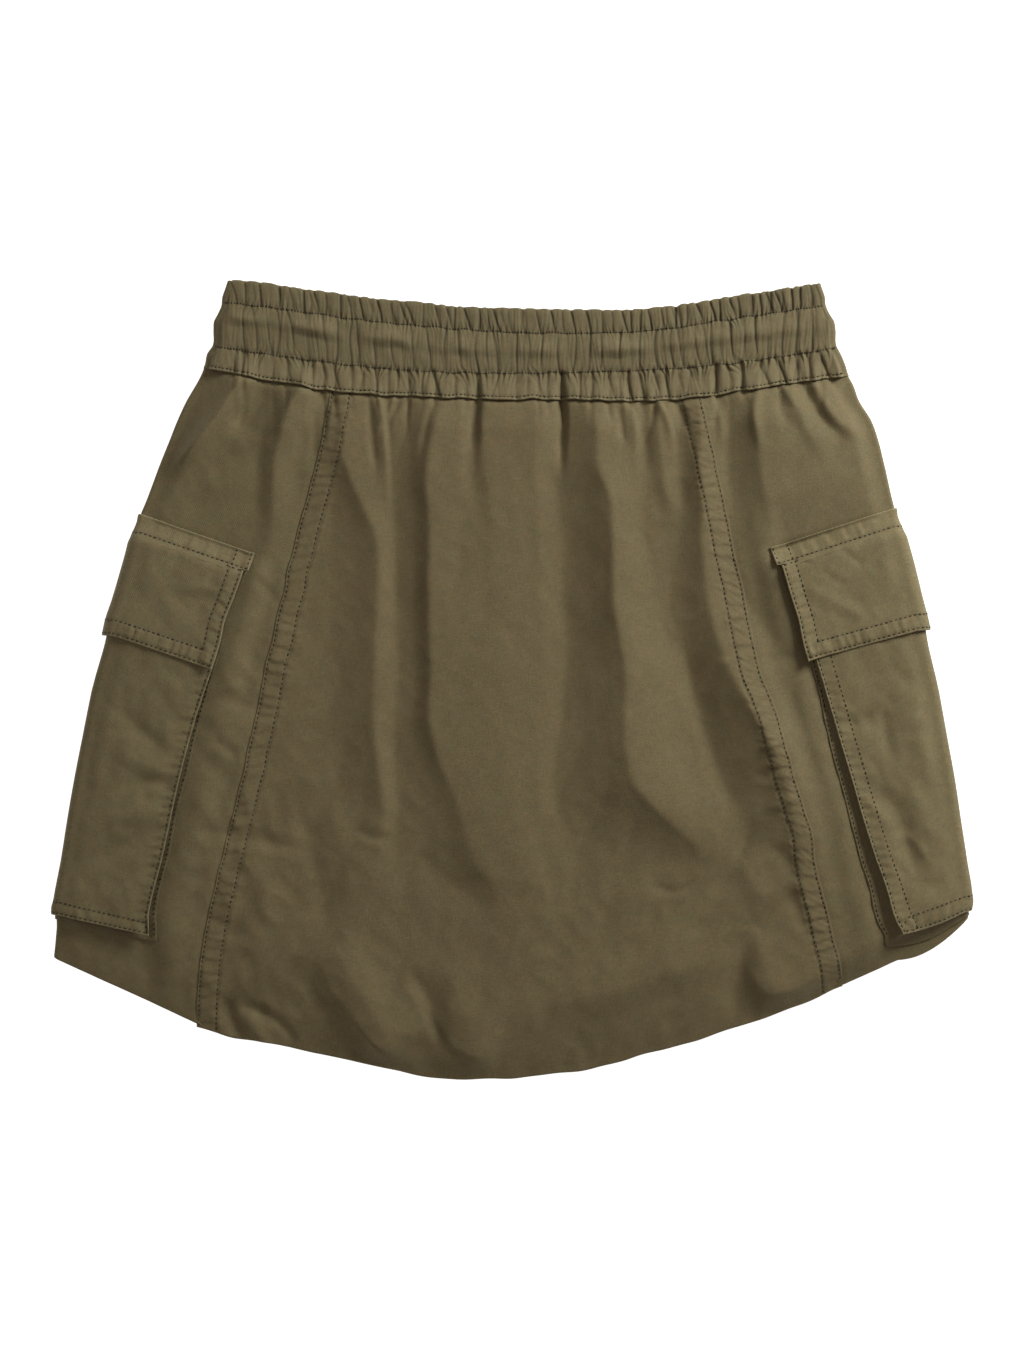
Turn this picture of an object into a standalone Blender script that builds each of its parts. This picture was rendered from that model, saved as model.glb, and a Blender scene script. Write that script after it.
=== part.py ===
"""Cargo utility skirt, laid flat on its back.

A gathered waistband, a front and a back panel, two side panels that wrap round the skirt's edges, and on each side
a patch pocket with a gusset strip and a flap, all three wrapped round the same edge. Every piece is one wall of
cloth. The skirt rests on its back: the lowest layer of each stack lies on the surface.

Worked in millimetres and written in metres: +X to the right, +Y towards the waist, +Z up from the surface. The
origin is on the surface, under the middle of the outline.
"""
import math

import bmesh
import bpy
import numpy as np

MM = 0.001
CLOTH = 1.0  # wall of one layer
GAP = 0.3  # clearance between two pieces
SEAM_GAP = 0.4  # the same at the long seams, whose two sides are cut at different places
LAYER = CLOTH + GAP  # from the middle of one layer to the middle of the next
LOFT = 3 * LAYER  # front layer over back layer, with room for both turned hems
TURN = LAYER / 2  # radius of the hem's turn
FOLD_FADE = 12.0  # folds die out this far from the skirt's edge
FOLD_TAPER = 28.0  # length over which a fold rises at its ends
FOLD_AT_BAND = 0.35  # share of a fold's height that is left where it meets the waistband

STRIP_OUT = 5.0  # the gusset shows this far outside the pocket's front edge
STRIP_IN = 7.0  # and is sewn this far under it

BAND_LOFT = 2.9  # waistband's front layer over its back layer
BAND_GATHERS = 36  # gathers across the waistband's front
BAND_BACK = 8  # columns across the waistband's back, which lies flat
BAND_ARC = 4  # steps round each of the waistband's side folds
GATHER_SHIFTS = ((0.3, 2.4), (0.2, 0.9))  # waves that make the gathers' places uneven: share of a step, angle a step
GATHER_DEPTH = 0.75  # usual share of a row's depth
GATHER_VARY = 0.25  # and how much that varies
GATHER_ANGLE = 1.7  # angle a step of that variation
FRONT_TURN = 1.5  # cloth turned at least this far, in radians, lies on the front
PASSES = 4  # rounds that settle places whose height and width depend on each other
FRONT_COLUMNS = 24
FRONT_ROWS = 17
BACK_COLUMNS = 8
SIDE_ARC = 5  # steps round a side fold
HEM_STEPS = 4  # steps round the hem's turn

# The outline's two edges: y, x of the left edge, x of the right edge
OUTLINE = (
    (216, -154.0, 166.5),
    (199, -159.5, 171.5),
    (189, -161.5, 174.5),
    (177, -165.0, 177.5),
    (167, -167.0, 181.0),
    (151, -176.0, 187.5),
    (130, -185.5, 197.0),
    (108, -194.0, 203.5),
    (86, -202.5, 209.5),
    (43, -215.5, 221.0),
    (11, -223.5, 227.5),
    (-32, -232.5, 235.0),
    (-76, -240.5, 242.0),
    (-119, -247.5, 248.5),
    (-152, -249.0, 247.5),
)

# The two front seams, and the back seams under them: y, x of the left seam, x of the right seam
SEAMS = (
    (156, -98.0, 101.5),
    (118, -105.5, 109.5),
    (86, -114.0, 116.5),
    (49, -123.5, 124.5),
    (15, -131.5, 133.0),
    (-13, -138.0, 141.5),
    (-59, -148.0, 155.0),
    (-102, -158.5, 165.5),
    (-133, -165.0, 172.0),
    (-160, -169.5, 176.5),
    (-190, -172.5, 180.5),
)

# The waistband's rows: gather depth, then y at the left edge, left quarter, centre, right quarter and right edge
BAND_ROWS = (
    ("top", 1.0, 216.3, 206.3, 200.9, 202.5, 214.9),
    ("upper_stitching", 0.5, 204.1, 194.1, 187.9, 190.1, 202.5),
    ("ledge", 0.9, 195.5, 185.2, 178.2, 182.3, 193.3),
    ("lower_stitching", 0.5, 180.4, 169.4, 165.6, 167.7, 179.6),
    ("bottom", 0.8, 167.4, 153.9, 150.8, 150.9, 163.9),
)

# The hem under the front panel: y at the left seam, left quarter, centre, right quarter and right seam
HEM = (-185.8, -206.2, -215.5, -197.6, -165.2)
HEM_RETURN = 10.0  # cloth turned in at the hem

# Rows of each side panel, from the waist to the hem. over: layers of pocket that lie on the row; edge_y: y at the
# skirt's edge; reach: how far the pocket's front edge is from the skirt's edge; reach_y: y there; seam_y: y at the
# seam; bow: how far the row bellies down between edge and reach. The waist row takes its y from the waistband.
SIDE_ROWS = {
    "left": (
        ("waist", 0.0, 0.0, 45.0, 0.0, 155.5, 0.0),
        ("yoke", 0.0, 135.5, 54.0, 125.8, 121.5, 0.0),
        ("above_flap", 0.3, 113.4, 60.0, 98.3, 94.5, 0.0),
        ("flap_top", 1.0, 90.2, 66.0, 69.1, 64.8, 0.0),
        ("mouth", 3.0, 78.0, 65.5, 57.2, 51.8, 0.0),
        ("flap_middle", 3.0, 52.0, 64.5, 31.3, 25.4, 0.0),
        ("flap_bottom", 3.0, 25.4, 63.0, 5.4, -1.1, 0.0),
        ("pocket_1", 2.0, -5.4, 58.5, -23.8, -31.3, 0.0),
        ("pocket_2", 2.0, -37.8, 57.5, -54.0, -62.1, 0.0),
        ("pocket_3", 2.0, -70.2, 56.0, -85.3, -93.4, 0.0),
        ("pocket_4", 2.0, -102.6, 54.5, -116.1, -124.7, 0.0),
        ("strip", 2.0, -118.8, 53.0, -130.7, -140.4, 0.0),
        ("pocket_bottom", 2.0, -125.8, 52.4, -137.7, -148.5, 0.0),
        ("hem_return", 0.6, -140.7, 52.4, -164.4, -175.8, 0.0),
        ("hem", 0.0, -150.7, 52.4, -174.4, -185.8, 0.0),
    ),
    "right": (
        ("waist", 0.0, 0.0, 52.0, 0.0, 152.3, 0.0),
        ("yoke", 0.0, 135.0, 60.0, 125.3, 120.4, 0.0),
        ("above_flap", 0.3, 113.4, 65.0, 98.3, 94.5, 0.0),
        ("flap_top", 1.0, 93.4, 68.0, 73.2, 66.4, 0.0),
        ("mouth", 3.0, 81.5, 67.5, 61.6, 54.0, 0.0),
        ("flap_middle", 3.0, 55.0, 66.0, 36.7, 28.0, 0.0),
        ("flap_bottom", 3.0, 28.0, 64.0, 11.3, 1.6, 0.0),
        ("pocket_1", 2.0, -5.4, 60.0, -21.0, -28.6, 0.0),
        ("pocket_2", 2.0, -32.4, 56.5, -47.5, -56.7, 0.0),
        ("pocket_3", 2.0, -59.4, 53.5, -73.4, -84.2, 0.0),
        ("pocket_4", 2.0, -86.4, 49.0, -100.4, -110.7, 0.0),
        ("strip", 2.0, -115.0, 41.0, -129.6, -137.7, 0.0),
        ("pocket_bottom", 2.0, -122.6, 39.0, -136.6, -144.7, 2.0),
        ("hem_return", 1.2, -124.6, 38.0, -142.7, -155.2, 4.0),
        ("hem", 0.8, -126.4, 37.0, -151.7, -165.2, 6.2),
    ),
}

# Columns of a side panel's front or back half, from the seam to where the edge's round starts, and how much of
# the pocket's height the panel is raised by at each of them
SIDE_COLUMNS = ("seam", "outside", "strip_edge", "pocket_edge", "strip_inner", "middle")
COLUMN_RAISE = (0.0, 0.35, 1.0, 1.0, 1.0, 1.0)
FLAP_ENDS_AT = {"left": "pocket_edge", "right": "strip_edge"}

# The largest folds: height of the crest, reach of its left and right flanks, and the crest's (x, y) from top down
FOLDS = (
    ("left_long", 3.5, 27.0, 11.0, ((-67, 145), (-70, 97), (-70, 22), (-70, -86))),
    ("left_lip", 4.0, 11.0, 26.0, ((-42.5, 150), (-41, 86), (-41, 22), (-34, -43), (-16.5, -113))),
    ("middle", 5.0, 25.0, 24.0, ((43, 135), (56.5, 97), (56.5, -11), (69, -59), (101, -95))),
    ("waist_short", 3.0, 10.0, 10.0, ((81, 150), (81, 97), (84, 65))),
    ("right_seam", 4.0, 20.0, 18.0, ((101, 140), (102, 65), (109, 22), (121, -32), (148, -71))),
    ("right_side", 4.5, 13.0, 32.0, ((132, 159), (142, 124), (143.5, 65))),
    ("left_side_upper", 3.0, 14.0, 22.0, ((-142, 162), (-158.5, 142.5), (-171, 126), (-190, 111))),
    ("left_side_lower", 3.0, 12.0, 14.0, ((-115, 154), (-129, 124), (-132, 76))),
    ("hem_left", 2.5, 22.0, 40.0, ((-93, -125), (-96, -160), (-98, -206))),
    ("hem_middle", 2.5, 18.0, 30.0, ((-24, -140), (-24, -180), (-24, -216))),
    ("hem_right", 2.5, 45.0, 20.0, ((130, -125), (136, -150), (138, -185))),
)

# Linear base colours of the olive cotton: each piece's own, as each is cut from another part of the cloth
COLOURS = {
    "waistband": (0.145, 0.118, 0.066),
    "front_panel": (0.132, 0.106, 0.055),
    "back_panel": (0.126, 0.100, 0.052),
    "side_panel": (0.134, 0.108, 0.057),
    "pocket": (0.136, 0.112, 0.058),
    "pocket_gusset": (0.112, 0.090, 0.047),
    "pocket_flap": (0.140, 0.115, 0.060),
}
ROUGHNESS = 0.9


def curve(knots, values, at):
    """A smooth curve through the values at rising knots, read at the given places."""
    knots = np.asarray(knots, float)
    values = np.asarray(values, float)
    at = np.asarray(at, float)
    slopes = np.gradient(values, knots)
    i = np.clip(np.searchsorted(knots, at) - 1, 0, len(knots) - 2)
    span = knots[i + 1] - knots[i]
    f = np.clip((at - knots[i]) / span, 0.0, 1.0)
    start = values[i] * (1 + 2 * f) * (1 - f) ** 2 + slopes[i] * span * f * (1 - f) ** 2
    end = values[i + 1] * f * f * (3 - 2 * f) + slopes[i + 1] * span * f * f * (f - 1)
    return start + end


def ramp(low, high, at):
    """0 below low, 1 above high, and smooth between them."""
    f = np.clip((np.asarray(at, float) - low) / (high - low), 0.0, 1.0)
    return f * f * (3 - 2 * f)


def table_x(table, side, y):
    """The x of a table's left or right line at height y."""
    rows = np.array(table)[::-1]
    return curve(rows[:, 0], rows[:, 1 if side == "left" else 2], y)


def inward(side):
    """The x direction from the given edge towards the middle."""
    return 1.0 if side == "left" else -1.0


def band_y(row, x):
    """The y of one of the waistband's rows at x."""
    heights = BAND_ROWS[row][2:]
    left = table_x(OUTLINE, "left", heights[0])
    right = table_x(OUTLINE, "right", heights[-1])
    return curve(np.linspace(0, 1, len(heights)), heights, (x - left) / (right - left))


def waist_y(x):
    """The y of the skirt's top edge, just below the waistband."""
    return band_y(len(BAND_ROWS) - 1, x) - GAP


def fold_height(x, y):
    """The height of the largest folds over the cloth's resting level."""
    total = np.zeros(np.broadcast(x, y).shape)
    for _, height, left, right, crest in FOLDS:
        points = np.array(crest, float)[::-1]
        across = x - curve(points[:, 1], points[:, 0], y)
        flank = np.where(across < 0, -across / left, across / right)
        profile = np.cos(np.clip(flank, 0.0, 1.0) * math.pi / 2) ** 2
        along = ramp(points[0, 1] - FOLD_TAPER, points[0, 1] + FOLD_TAPER / 2, y)
        along *= 1 - ramp(points[-1, 1] - FOLD_TAPER / 2, points[-1, 1] + FOLD_TAPER, y)
        total = np.maximum(total, height * profile * along)
    near_band = ramp(0.0, FOLD_TAPER, waist_y(x) - y)
    return total * (FOLD_AT_BAND + (1 - FOLD_AT_BAND) * near_band)


def wall(name, middle, outward, low=-CLOTH / 2, high=CLOTH / 2, keep=None, ring=False):
    """One piece of cloth: a grid of points, moved along outward to its two faces and closed round its border.

    keep marks the grid's cells that the piece covers. A ring's last column meets its first.
    """
    rows, columns = middle.shape[:2]
    cells = columns if ring else columns - 1
    keep = np.ones((rows - 1, cells), bool) if keep is None else keep
    points = np.concatenate([(middle + outward * high).reshape(-1, 3), (middle + outward * low).reshape(-1, 3)])
    inner = rows * columns
    faces = []
    sides = {}
    for i, j in zip(*np.nonzero(keep)):
        k = (j + 1) % columns
        corners = [i * columns + j, i * columns + k, (i + 1) * columns + k, (i + 1) * columns + j]
        for a, b, c in ((0, 1, 2), (0, 2, 3)):
            faces.append((corners[a], corners[b], corners[c]))
            faces.append((corners[c] + inner, corners[b] + inner, corners[a] + inner))
        for a in range(4):
            edge = (corners[a], corners[(a + 1) % 4])
            if (edge[1], edge[0]) in sides:
                del sides[(edge[1], edge[0])]
            else:
                sides[edge] = True
    for a, b in sides:
        faces.append((b, a, a + inner))
        faces.append((b, a + inner, b + inner))
    mesh = bpy.data.meshes.new(name)
    mesh.from_pydata((points * MM).tolist(), [], faces)
    shape = bmesh.new()
    shape.from_mesh(mesh)
    loose = [vertex for vertex in shape.verts if not vertex.link_faces]
    bmesh.ops.delete(shape, geom=loose, context="VERTS")
    bmesh.ops.recalc_face_normals(shape, faces=shape.faces)
    shape.to_mesh(mesh)
    shape.free()
    piece = bpy.data.objects.new(name, mesh)
    bpy.context.scene.collection.objects.link(piece)
    piece.data.materials.append(cloth_material(name))
    return piece


def cloth_material(name):
    """A matt cloth of the piece's own colour."""
    material = bpy.data.materials.new(name)
    material.use_nodes = True
    surface = material.node_tree.nodes["Principled BSDF"]
    colour = next(value for piece, value in COLOURS.items() if name in (piece, f"{piece}_left", f"{piece}_right"))
    surface.inputs["Base Color"].default_value = (*colour, 1.0)
    surface.inputs["Roughness"].default_value = ROUGHNESS
    surface.inputs["Metallic"].default_value = 0.0
    return material


def hem_profile():
    """The hem in section: how far each step is past the turn's centre, its height, and the way its cloth faces."""
    angles = np.linspace(0.0, math.pi, HEM_STEPS + 1)
    return [(TURN * math.sin(a) - TURN, TURN * math.cos(a) - TURN, math.sin(a), math.cos(a)) for a in angles]


def centre_panel(name, front):
    """The front or back panel between the two seams, with its hem turned in."""
    columns = FRONT_COLUMNS if front else BACK_COLUMNS
    share = np.linspace(0.0, 1.0, columns + 1)
    hem = curve(np.linspace(0.0, 1.0, len(HEM)), HEM, share)
    length = np.mean(waist_y(np.zeros(1))) - min(HEM)
    down = np.append(np.linspace(0.0, 1.0, FRONT_ROWS)[:-1], 1.0 - HEM_RETURN / length)
    flat = [(s, 0.0, 0.0, 0.0, 1.0) for s in sorted(down)]
    rows = flat + [(1.0, *step) for step in hem_profile()] + [(1.0 - HEM_RETURN / length, 0.0, -LAYER, 0.0, -1.0)]
    middle = np.zeros((len(rows), len(share), 3))
    outward = np.zeros_like(middle)
    for i, (s, past, height, faces_out, faces_up) in enumerate(rows):
        y = (1 - s) * waist_y(np.zeros_like(share)) + s * hem
        for _ in range(PASSES):
            left = table_x(SEAMS, "left", y[0]) + SEAM_GAP / 2
            right = table_x(SEAMS, "right", y[-1]) - SEAM_GAP / 2
            x = left + (right - left) * share
            y = (1 - s) * waist_y(x) + s * hem
        y = y - past
        level = CLOTH / 2 + (LOFT + fold_height(x, y) if front else 0.0)
        up = 1.0 if front else -1.0
        middle[i] = np.stack([x, y, level + up * height * np.ones_like(x)], axis=1)
        outward[i] = np.stack([0 * x, -faces_out + 0 * x, up * faces_up + 0 * x], axis=1)
    return wall(name, middle, outward)


def side_row(side, row, past, height, faces_out, faces_up):
    """One row of a side panel, from the front seam round the skirt's edge to the back seam."""
    name, over, edge_y, reach, reach_y, seam_y, bow = row
    along = inward(side)
    angles = np.linspace(math.pi / 2, -math.pi / 2, SIDE_ARC + 1)
    radius = LOFT / 2
    centre = radius + CLOTH / 2 + LAYER * over
    seam_reach = along * (table_x(SEAMS, side, seam_y) - table_x(OUTLINE, side, seam_y)) - SEAM_GAP / 2
    strip_edge = reach + STRIP_OUT
    inner = reach - STRIP_IN
    half = np.array([seam_reach, (seam_reach + strip_edge) / 2, strip_edge, reach, inner, (inner + centre) / 2])
    raise_by = np.array(COLUMN_RAISE) * LAYER * over
    a = np.concatenate([half, centre - radius * np.cos(angles), half[::-1]])
    lift = np.concatenate([raise_by, np.full(len(angles), LAYER * over), raise_by[::-1]])
    turn = np.concatenate([np.full(len(half), math.pi / 2), angles, np.full(len(half), -math.pi / 2)])
    y = np.full(len(a), seam_y)
    for _ in range(PASSES):
        x = table_x(OUTLINE, side, y) + along * a
        if name == "waist":
            y = waist_y(x)
        else:
            f = np.clip(a / reach, 0.0, 1.0)
            y = np.interp(a, (0.0, reach, seam_reach), (edge_y, reach_y, seam_y)) - 4 * bow * f * (1 - f)
    y = y - past
    x = table_x(OUTLINE, side, y) + along * a
    bare = (1 - np.minimum(over, 1.0) * np.interp(a, (reach, seam_reach), (1.0, 0.0))) * ramp(centre, FOLD_FADE, a)
    folds = np.where(turn > FRONT_TURN, fold_height(x, y) * bare, 0.0)
    z = CLOTH / 2 + lift + radius + radius * np.sin(turn) + folds
    facing = np.stack([-along * np.cos(turn), 0 * turn, np.sin(turn)], axis=1)
    middle = np.stack([x, y, z], axis=1) + facing * height
    outward = facing * faces_up + np.array([0.0, -faces_out, 0.0])
    return middle, outward


def side_grid(side):
    """A side panel's points and the way its cloth faces, row by row, with the rows' names."""
    rows = SIDE_ROWS[side]
    plain = (0.0, 0.0, 0.0, 1.0)
    steps = [(row[0], row, plain) for row in rows[:-1]]
    steps += [("hem", rows[-1], step) for step in hem_profile()]
    steps.append(("turned_in", rows[-2], (0.0, -LAYER, 0.0, -1.0)))
    grid = [side_row(side, row, *step) for _, row, step in steps]
    names = [name for name, _, _ in steps]
    return np.array([g[0] for g in grid]), np.array([g[1] for g in grid]), names


def build_side(side):
    """One side: the panel, and the gusset strip, pocket and flap that are made from its points, moved out."""
    middle, outward, names = side_grid(side)
    last = middle.shape[1] - 1
    wall(f"side_panel_{side}", middle, outward)

    mouth = names.index("mouth")
    strip = names.index("strip")
    bottom = names.index("pocket_bottom")
    strip_edge = SIDE_COLUMNS.index("strip_edge")
    pocket_edge = SIDE_COLUMNS.index("pocket_edge")
    strip_inner = SIDE_COLUMNS.index("strip_inner")

    gusset = np.zeros((len(names) - 1, last), bool)
    gusset[mouth:bottom, strip_edge:strip_inner] = True
    gusset[mouth:bottom, last - strip_inner:last - strip_edge] = True
    gusset[strip:bottom, strip_edge:last - strip_edge] = True
    wall(f"pocket_gusset_{side}", middle, outward, LAYER - CLOTH / 2, LAYER + CLOTH / 2, gusset)

    pocket = np.zeros_like(gusset)
    pocket[mouth:bottom, pocket_edge:last - pocket_edge] = True
    wall(f"pocket_{side}", middle, outward, 2 * LAYER - CLOTH / 2, 2 * LAYER + CLOTH / 2, pocket)

    top = names.index("flap_top")
    flap_bottom = names.index("flap_bottom")
    flap_edge = SIDE_COLUMNS.index(FLAP_ENDS_AT[side])
    over = np.array([row[1] for row in SIDE_ROWS[side]])[top:flap_bottom + 1]
    columns = slice(flap_edge, last - flap_edge + 1)
    facing = outward[top:flap_bottom + 1, columns]
    wall(f"pocket_flap_{side}", middle[top:flap_bottom + 1, columns] + facing * (LAYER * over)[:, None, None], facing)


def build_waistband():
    """The gathered ring: a puckered front, a round at each side and a flat back."""
    radius = BAND_LOFT / 2
    centre = radius + CLOTH / 2
    count = 2 * BAND_GATHERS
    step = np.arange(1, count)
    share = (step + sum(size * np.sin(angle * step) for size, angle in GATHER_SHIFTS)) / count
    pucker = np.where(step % 2 == 0, 1.0, -1.0) * (GATHER_DEPTH + GATHER_VARY * np.sin(GATHER_ANGLE * step))
    angles = np.linspace(math.pi / 2, -math.pi / 2, BAND_ARC + 1)
    back = np.linspace(0.0, 1.0, BAND_BACK + 1)[1:-1]
    middle = []
    outward = []
    for _, depth, *heights in BAND_ROWS:
        places = np.linspace(0.0, 1.0, len(heights))
        left = table_x(OUTLINE, "left", heights[0]) + centre
        right = table_x(OUTLINE, "right", heights[-1]) - centre
        x = np.concatenate([
            left + (right - left) * share,
            right + radius * np.cos(angles),
            right + (left - right) * back,
            left - radius * np.cos(angles),
        ])
        y = curve(places, heights, (x - left + centre) / (right - left + 2 * centre))
        turn = np.concatenate([np.full(len(share), math.pi / 2), angles, np.full(len(back), -math.pi / 2), -angles])
        away = np.concatenate([0 * share, np.cos(angles), 0 * back, -np.cos(angles)])
        z = CLOTH / 2 + radius + radius * np.sin(turn)
        z[:len(share)] += depth * pucker
        middle.append(np.stack([x, y, z], axis=1))
        outward.append(np.stack([away, 0 * away, np.sin(turn)], axis=1))
    wall("waistband", np.array(middle), np.array(outward), ring=True)


def build():
    for thing in list(bpy.data.objects):
        bpy.data.objects.remove(thing, do_unlink=True)
    build_waistband()
    centre_panel("front_panel", front=True)
    centre_panel("back_panel", front=False)
    for side in ("left", "right"):
        build_side(side)


build()
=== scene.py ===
"""Cargo utility skirt in olive cotton twill, laid flat on its back under soft studio light.

Worked in millimetres and written in metres: +X to the right, +Y towards the waist, +Z up from the surface.
Each piece of cloth is one thin closed shell. Places on the skirt's front are (x, y). Places on a side panel
are (across, down), drawn on the flat panel and wrapped round the fold at the skirt's edge. A number that
ends a call of ripple or tucks, or stands in one of gathers, is the seed that makes its pattern its own.
"""
import math

import bmesh
import bpy
import numpy as np
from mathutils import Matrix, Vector
from mathutils.bvhtree import BVHTree


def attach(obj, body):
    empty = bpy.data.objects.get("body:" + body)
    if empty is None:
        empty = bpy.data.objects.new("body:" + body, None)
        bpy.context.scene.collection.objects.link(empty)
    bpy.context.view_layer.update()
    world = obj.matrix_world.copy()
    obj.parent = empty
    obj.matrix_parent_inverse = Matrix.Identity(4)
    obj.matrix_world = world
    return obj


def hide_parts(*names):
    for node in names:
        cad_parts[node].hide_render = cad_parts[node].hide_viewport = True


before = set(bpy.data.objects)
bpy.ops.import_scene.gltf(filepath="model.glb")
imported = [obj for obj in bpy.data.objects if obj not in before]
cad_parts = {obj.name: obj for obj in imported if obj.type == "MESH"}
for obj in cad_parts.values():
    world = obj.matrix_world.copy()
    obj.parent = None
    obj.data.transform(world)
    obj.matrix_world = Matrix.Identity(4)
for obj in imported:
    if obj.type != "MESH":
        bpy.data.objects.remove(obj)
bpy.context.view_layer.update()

MM = 0.001
CLOTH = 0.8  # wall of one layer
LAYER = 1.3  # from the middle of one layer to the middle of the next
LOFT = 3.9  # front layer over back layer
REST = 0.5  # middle of the lowest layer over the surface
HEM_TURN = 0.75  # radius of the hem's turn
HEM_RETURN = 10.0  # cloth turned in at the hem
STRIP = 11.6  # width of the felled seams
STACK_OUT = 5.0  # the pocket's layers hold the panels up as far as this outside its edge
BAND_Z = 4.3  # middle of the waistband's front wall
BAND_BACK_Z = 0.9  # middle of its back wall
BAND_WALL = 1.4  # its wall, doubled cloth
BAND_RADIUS = (BAND_Z - BAND_BACK_Z) / 2
BAND_DEEP = 52.0  # its depth from top to bottom
BAND_RISE = 2.4  # how far its lower edge lies higher than its top
TUCK = 5.0  # the panels reach this far under the waistband
FOLD_DEPTH = 1.4  # share of the listed heights of folds and creases
HEM_ROLL = 5.8  # height from which the front rolls down to its hem
FRONT_IN_BAND = 2.9  # middle of the front where the waistband covers it
BACK_IN_BAND = 1.9
SEAM_GAP = 0.1  # from the ditch of a felled seam to the border of the front panel
LOWEST = 0.08  # how near a face comes to the surface
POCKET_HALF = 0.62  # half wall of the pockets
FLAP_HALF = 0.75  # half wall of the flaps, which are doubled
PLEAT = {"left": 5.8, "right": 4.8}  # a gusset's section reaches 1.5 times this far in under the pocket
BAND_ENDS = {"left": (216.6, 168.4), "right": (215.0, 164.0)}  # y of the waistband's ends, top and bottom
# Distances from a felled seam's ditch at which its cloth has points
STRIP_POINTS = (
    0, 0.12, 0.4, 0.8, 1.3, 1.8, 2.5, 3.3, 4.1, 5, 6, 7, 8, 9, 9.9, 10.5, 11.1, 11.7, 12.3, 12.9, 13.8,
)

TABLE_COLUMN = {"left": 1, "right": 2}  # of the two tables that follow
SEAM_SEED = {"left": 1.0, "right": 2.3}  # what makes each felled seam's puckers its own

# The skirt's two edges: y, x of the left edge, x of the right edge
OUTLINE = (
    (217, -154, 166), (212, -155.5, 167.5), (207.5, -157, 169), (203, -157.5, 169.5), (198.5, -159.5, 171.5),
    (194.5, -161.5, 174), (190, -161.8, 174.8), (181.5, -162.3, 175.3), (177, -165, 177.5),
    (170.5, -166.3, 180), (164, -168.8, 181.8), (160, -171, 184), (151, -176.3, 187.5), (140.5, -181.2, 194),
    (129.5, -185.6, 198), (119, -189.9, 200.7), (108, -194.2, 203.4), (97, -198.6, 206.2),
    (86.5, -203.2, 209.4), (65, -209.2, 215.6), (43, -215.6, 221), (32.5, -219, 223.6), (21.5, -220.8, 225),
    (0, -226, 229.2), (-32.5, -232.6, 235.1), (-54, -236.8, 239), (-75.5, -240.5, 242.2),
    (-97, -243.9, 245.5), (-119, -248, 248.4), (-126, -248.9, 247.8), (-135, -248, 246.6),
    (-152, -248.2, 245),
)

# The ditches of the two front felled seams: y, x of the left seam, x of the right seam
SEAMS = (
    (162, -97.6, 101), (150.5, -99.2, 102.4), (118, -105.5, 109.5), (86, -114.2, 116.5), (67, -119.2, 120.2),
    (48.5, -123.5, 124.6), (25, -129, 128.9), (4, -134, 133.6), (-13, -137, 140.6), (-29, -140.6, 145.5),
    (-59, -147.4, 153.6), (-77, -152, 160), (-101.5, -158, 164), (-133.5, -165.4, 172.2), (-155, -169, 177.2),
    (-177, -170.6, 179.6), (-195, -171.4, 180.6),
)

# Lines across the waistband, each (x, y) from left to right
BAND_LINES = {
    "top": (
        (-156, 216.6), (-139, 215.4), (-117.5, 212.2), (-96, 209.4), (-74.5, 206.4), (-52.5, 204.6),
        (-31, 202.2), (-9.5, 201.3), (34, 200.4), (66, 200.5), (77, 201.5), (98.5, 204.2), (120, 207.8),
        (142, 211.2), (168, 215),
    ),
    "upper_row": (
        (-159, 204.6), (-150, 203.6), (-70.5, 193.4), (2, 187.9), (82.5, 189.7), (120.5, 195.4), (172, 202.9),
    ),
    "ledge": (
        (-162, 196), (-138, 194.8), (-113.5, 190.2), (-90, 186), (-65.5, 183.9), (-41.5, 180.6),
        (-17.5, 178.8), (2, 178.3), (58, 178.4), (101.5, 183.4), (150, 189.2), (175, 192),
    ),
    "lower_row": (
        (-163, 180.6), (-102, 171.7), (-41.5, 166.4), (14, 165.8), (57, 166.8), (107.5, 169.8), (176, 179.4),
    ),
    "bottom": (
        (-167, 168.4), (-126, 160.3), (-97, 155.6), (-41.5, 152.2), (-17.5, 151.1), (26, 151), (82.5, 150.6),
        (111.5, 153.6), (146, 159), (181, 164),
    ),
}

# Gathers: x of each valley and its depth. The ruffle is above the upper row, the casing between the two rows
# and the skirt below them.
RUFFLE = (
    (-154, 0.5), (-150.4, 0.8), (-144.5, 0.9), (-136.4, 1), (-126, 1.1), (-119.5, 0.5), (-113, 1.2),
    (-106, 0.9), (-100.7, 1.1), (-93.2, 1.2), (-87.8, 0.8), (-81.8, 1.2), (-76, 0.5), (-71.6, 1.1),
    (-65, 0.5), (-59, 1), (-55.4, 0.8), (-48, 0.5), (-40.8, 1.2), (-34.3, 1.1), (-31, 0.8), (-24.6, 1.2),
    (-17.6, 1.1), (-13.2, 0.8), (-8.9, 1.1), (-2, 0.5), (5.5, 0.6), (13.8, 1.1), (21.9, 1.1), (27, 0.4),
    (32.7, 1.2), (40.8, 0.9), (48.3, 1.1), (54, 0.5), (60.2, 1), (63.8, 0.9), (68.9, 1.2), (74.3, 1),
    (81, 0.6), (88.3, 1.2), (94.5, 0.6), (101.3, 1.2), (108.3, 1.1), (112.1, 1), (118.5, 1.2), (122.2, 0.9),
    (129.3, 1.3), (133.7, 0.9), (138.5, 0.8), (143.4, 1.2), (150.9, 1.2), (155.3, 1), (161.7, 1.1),
    (166, 0.5),
)
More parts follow.
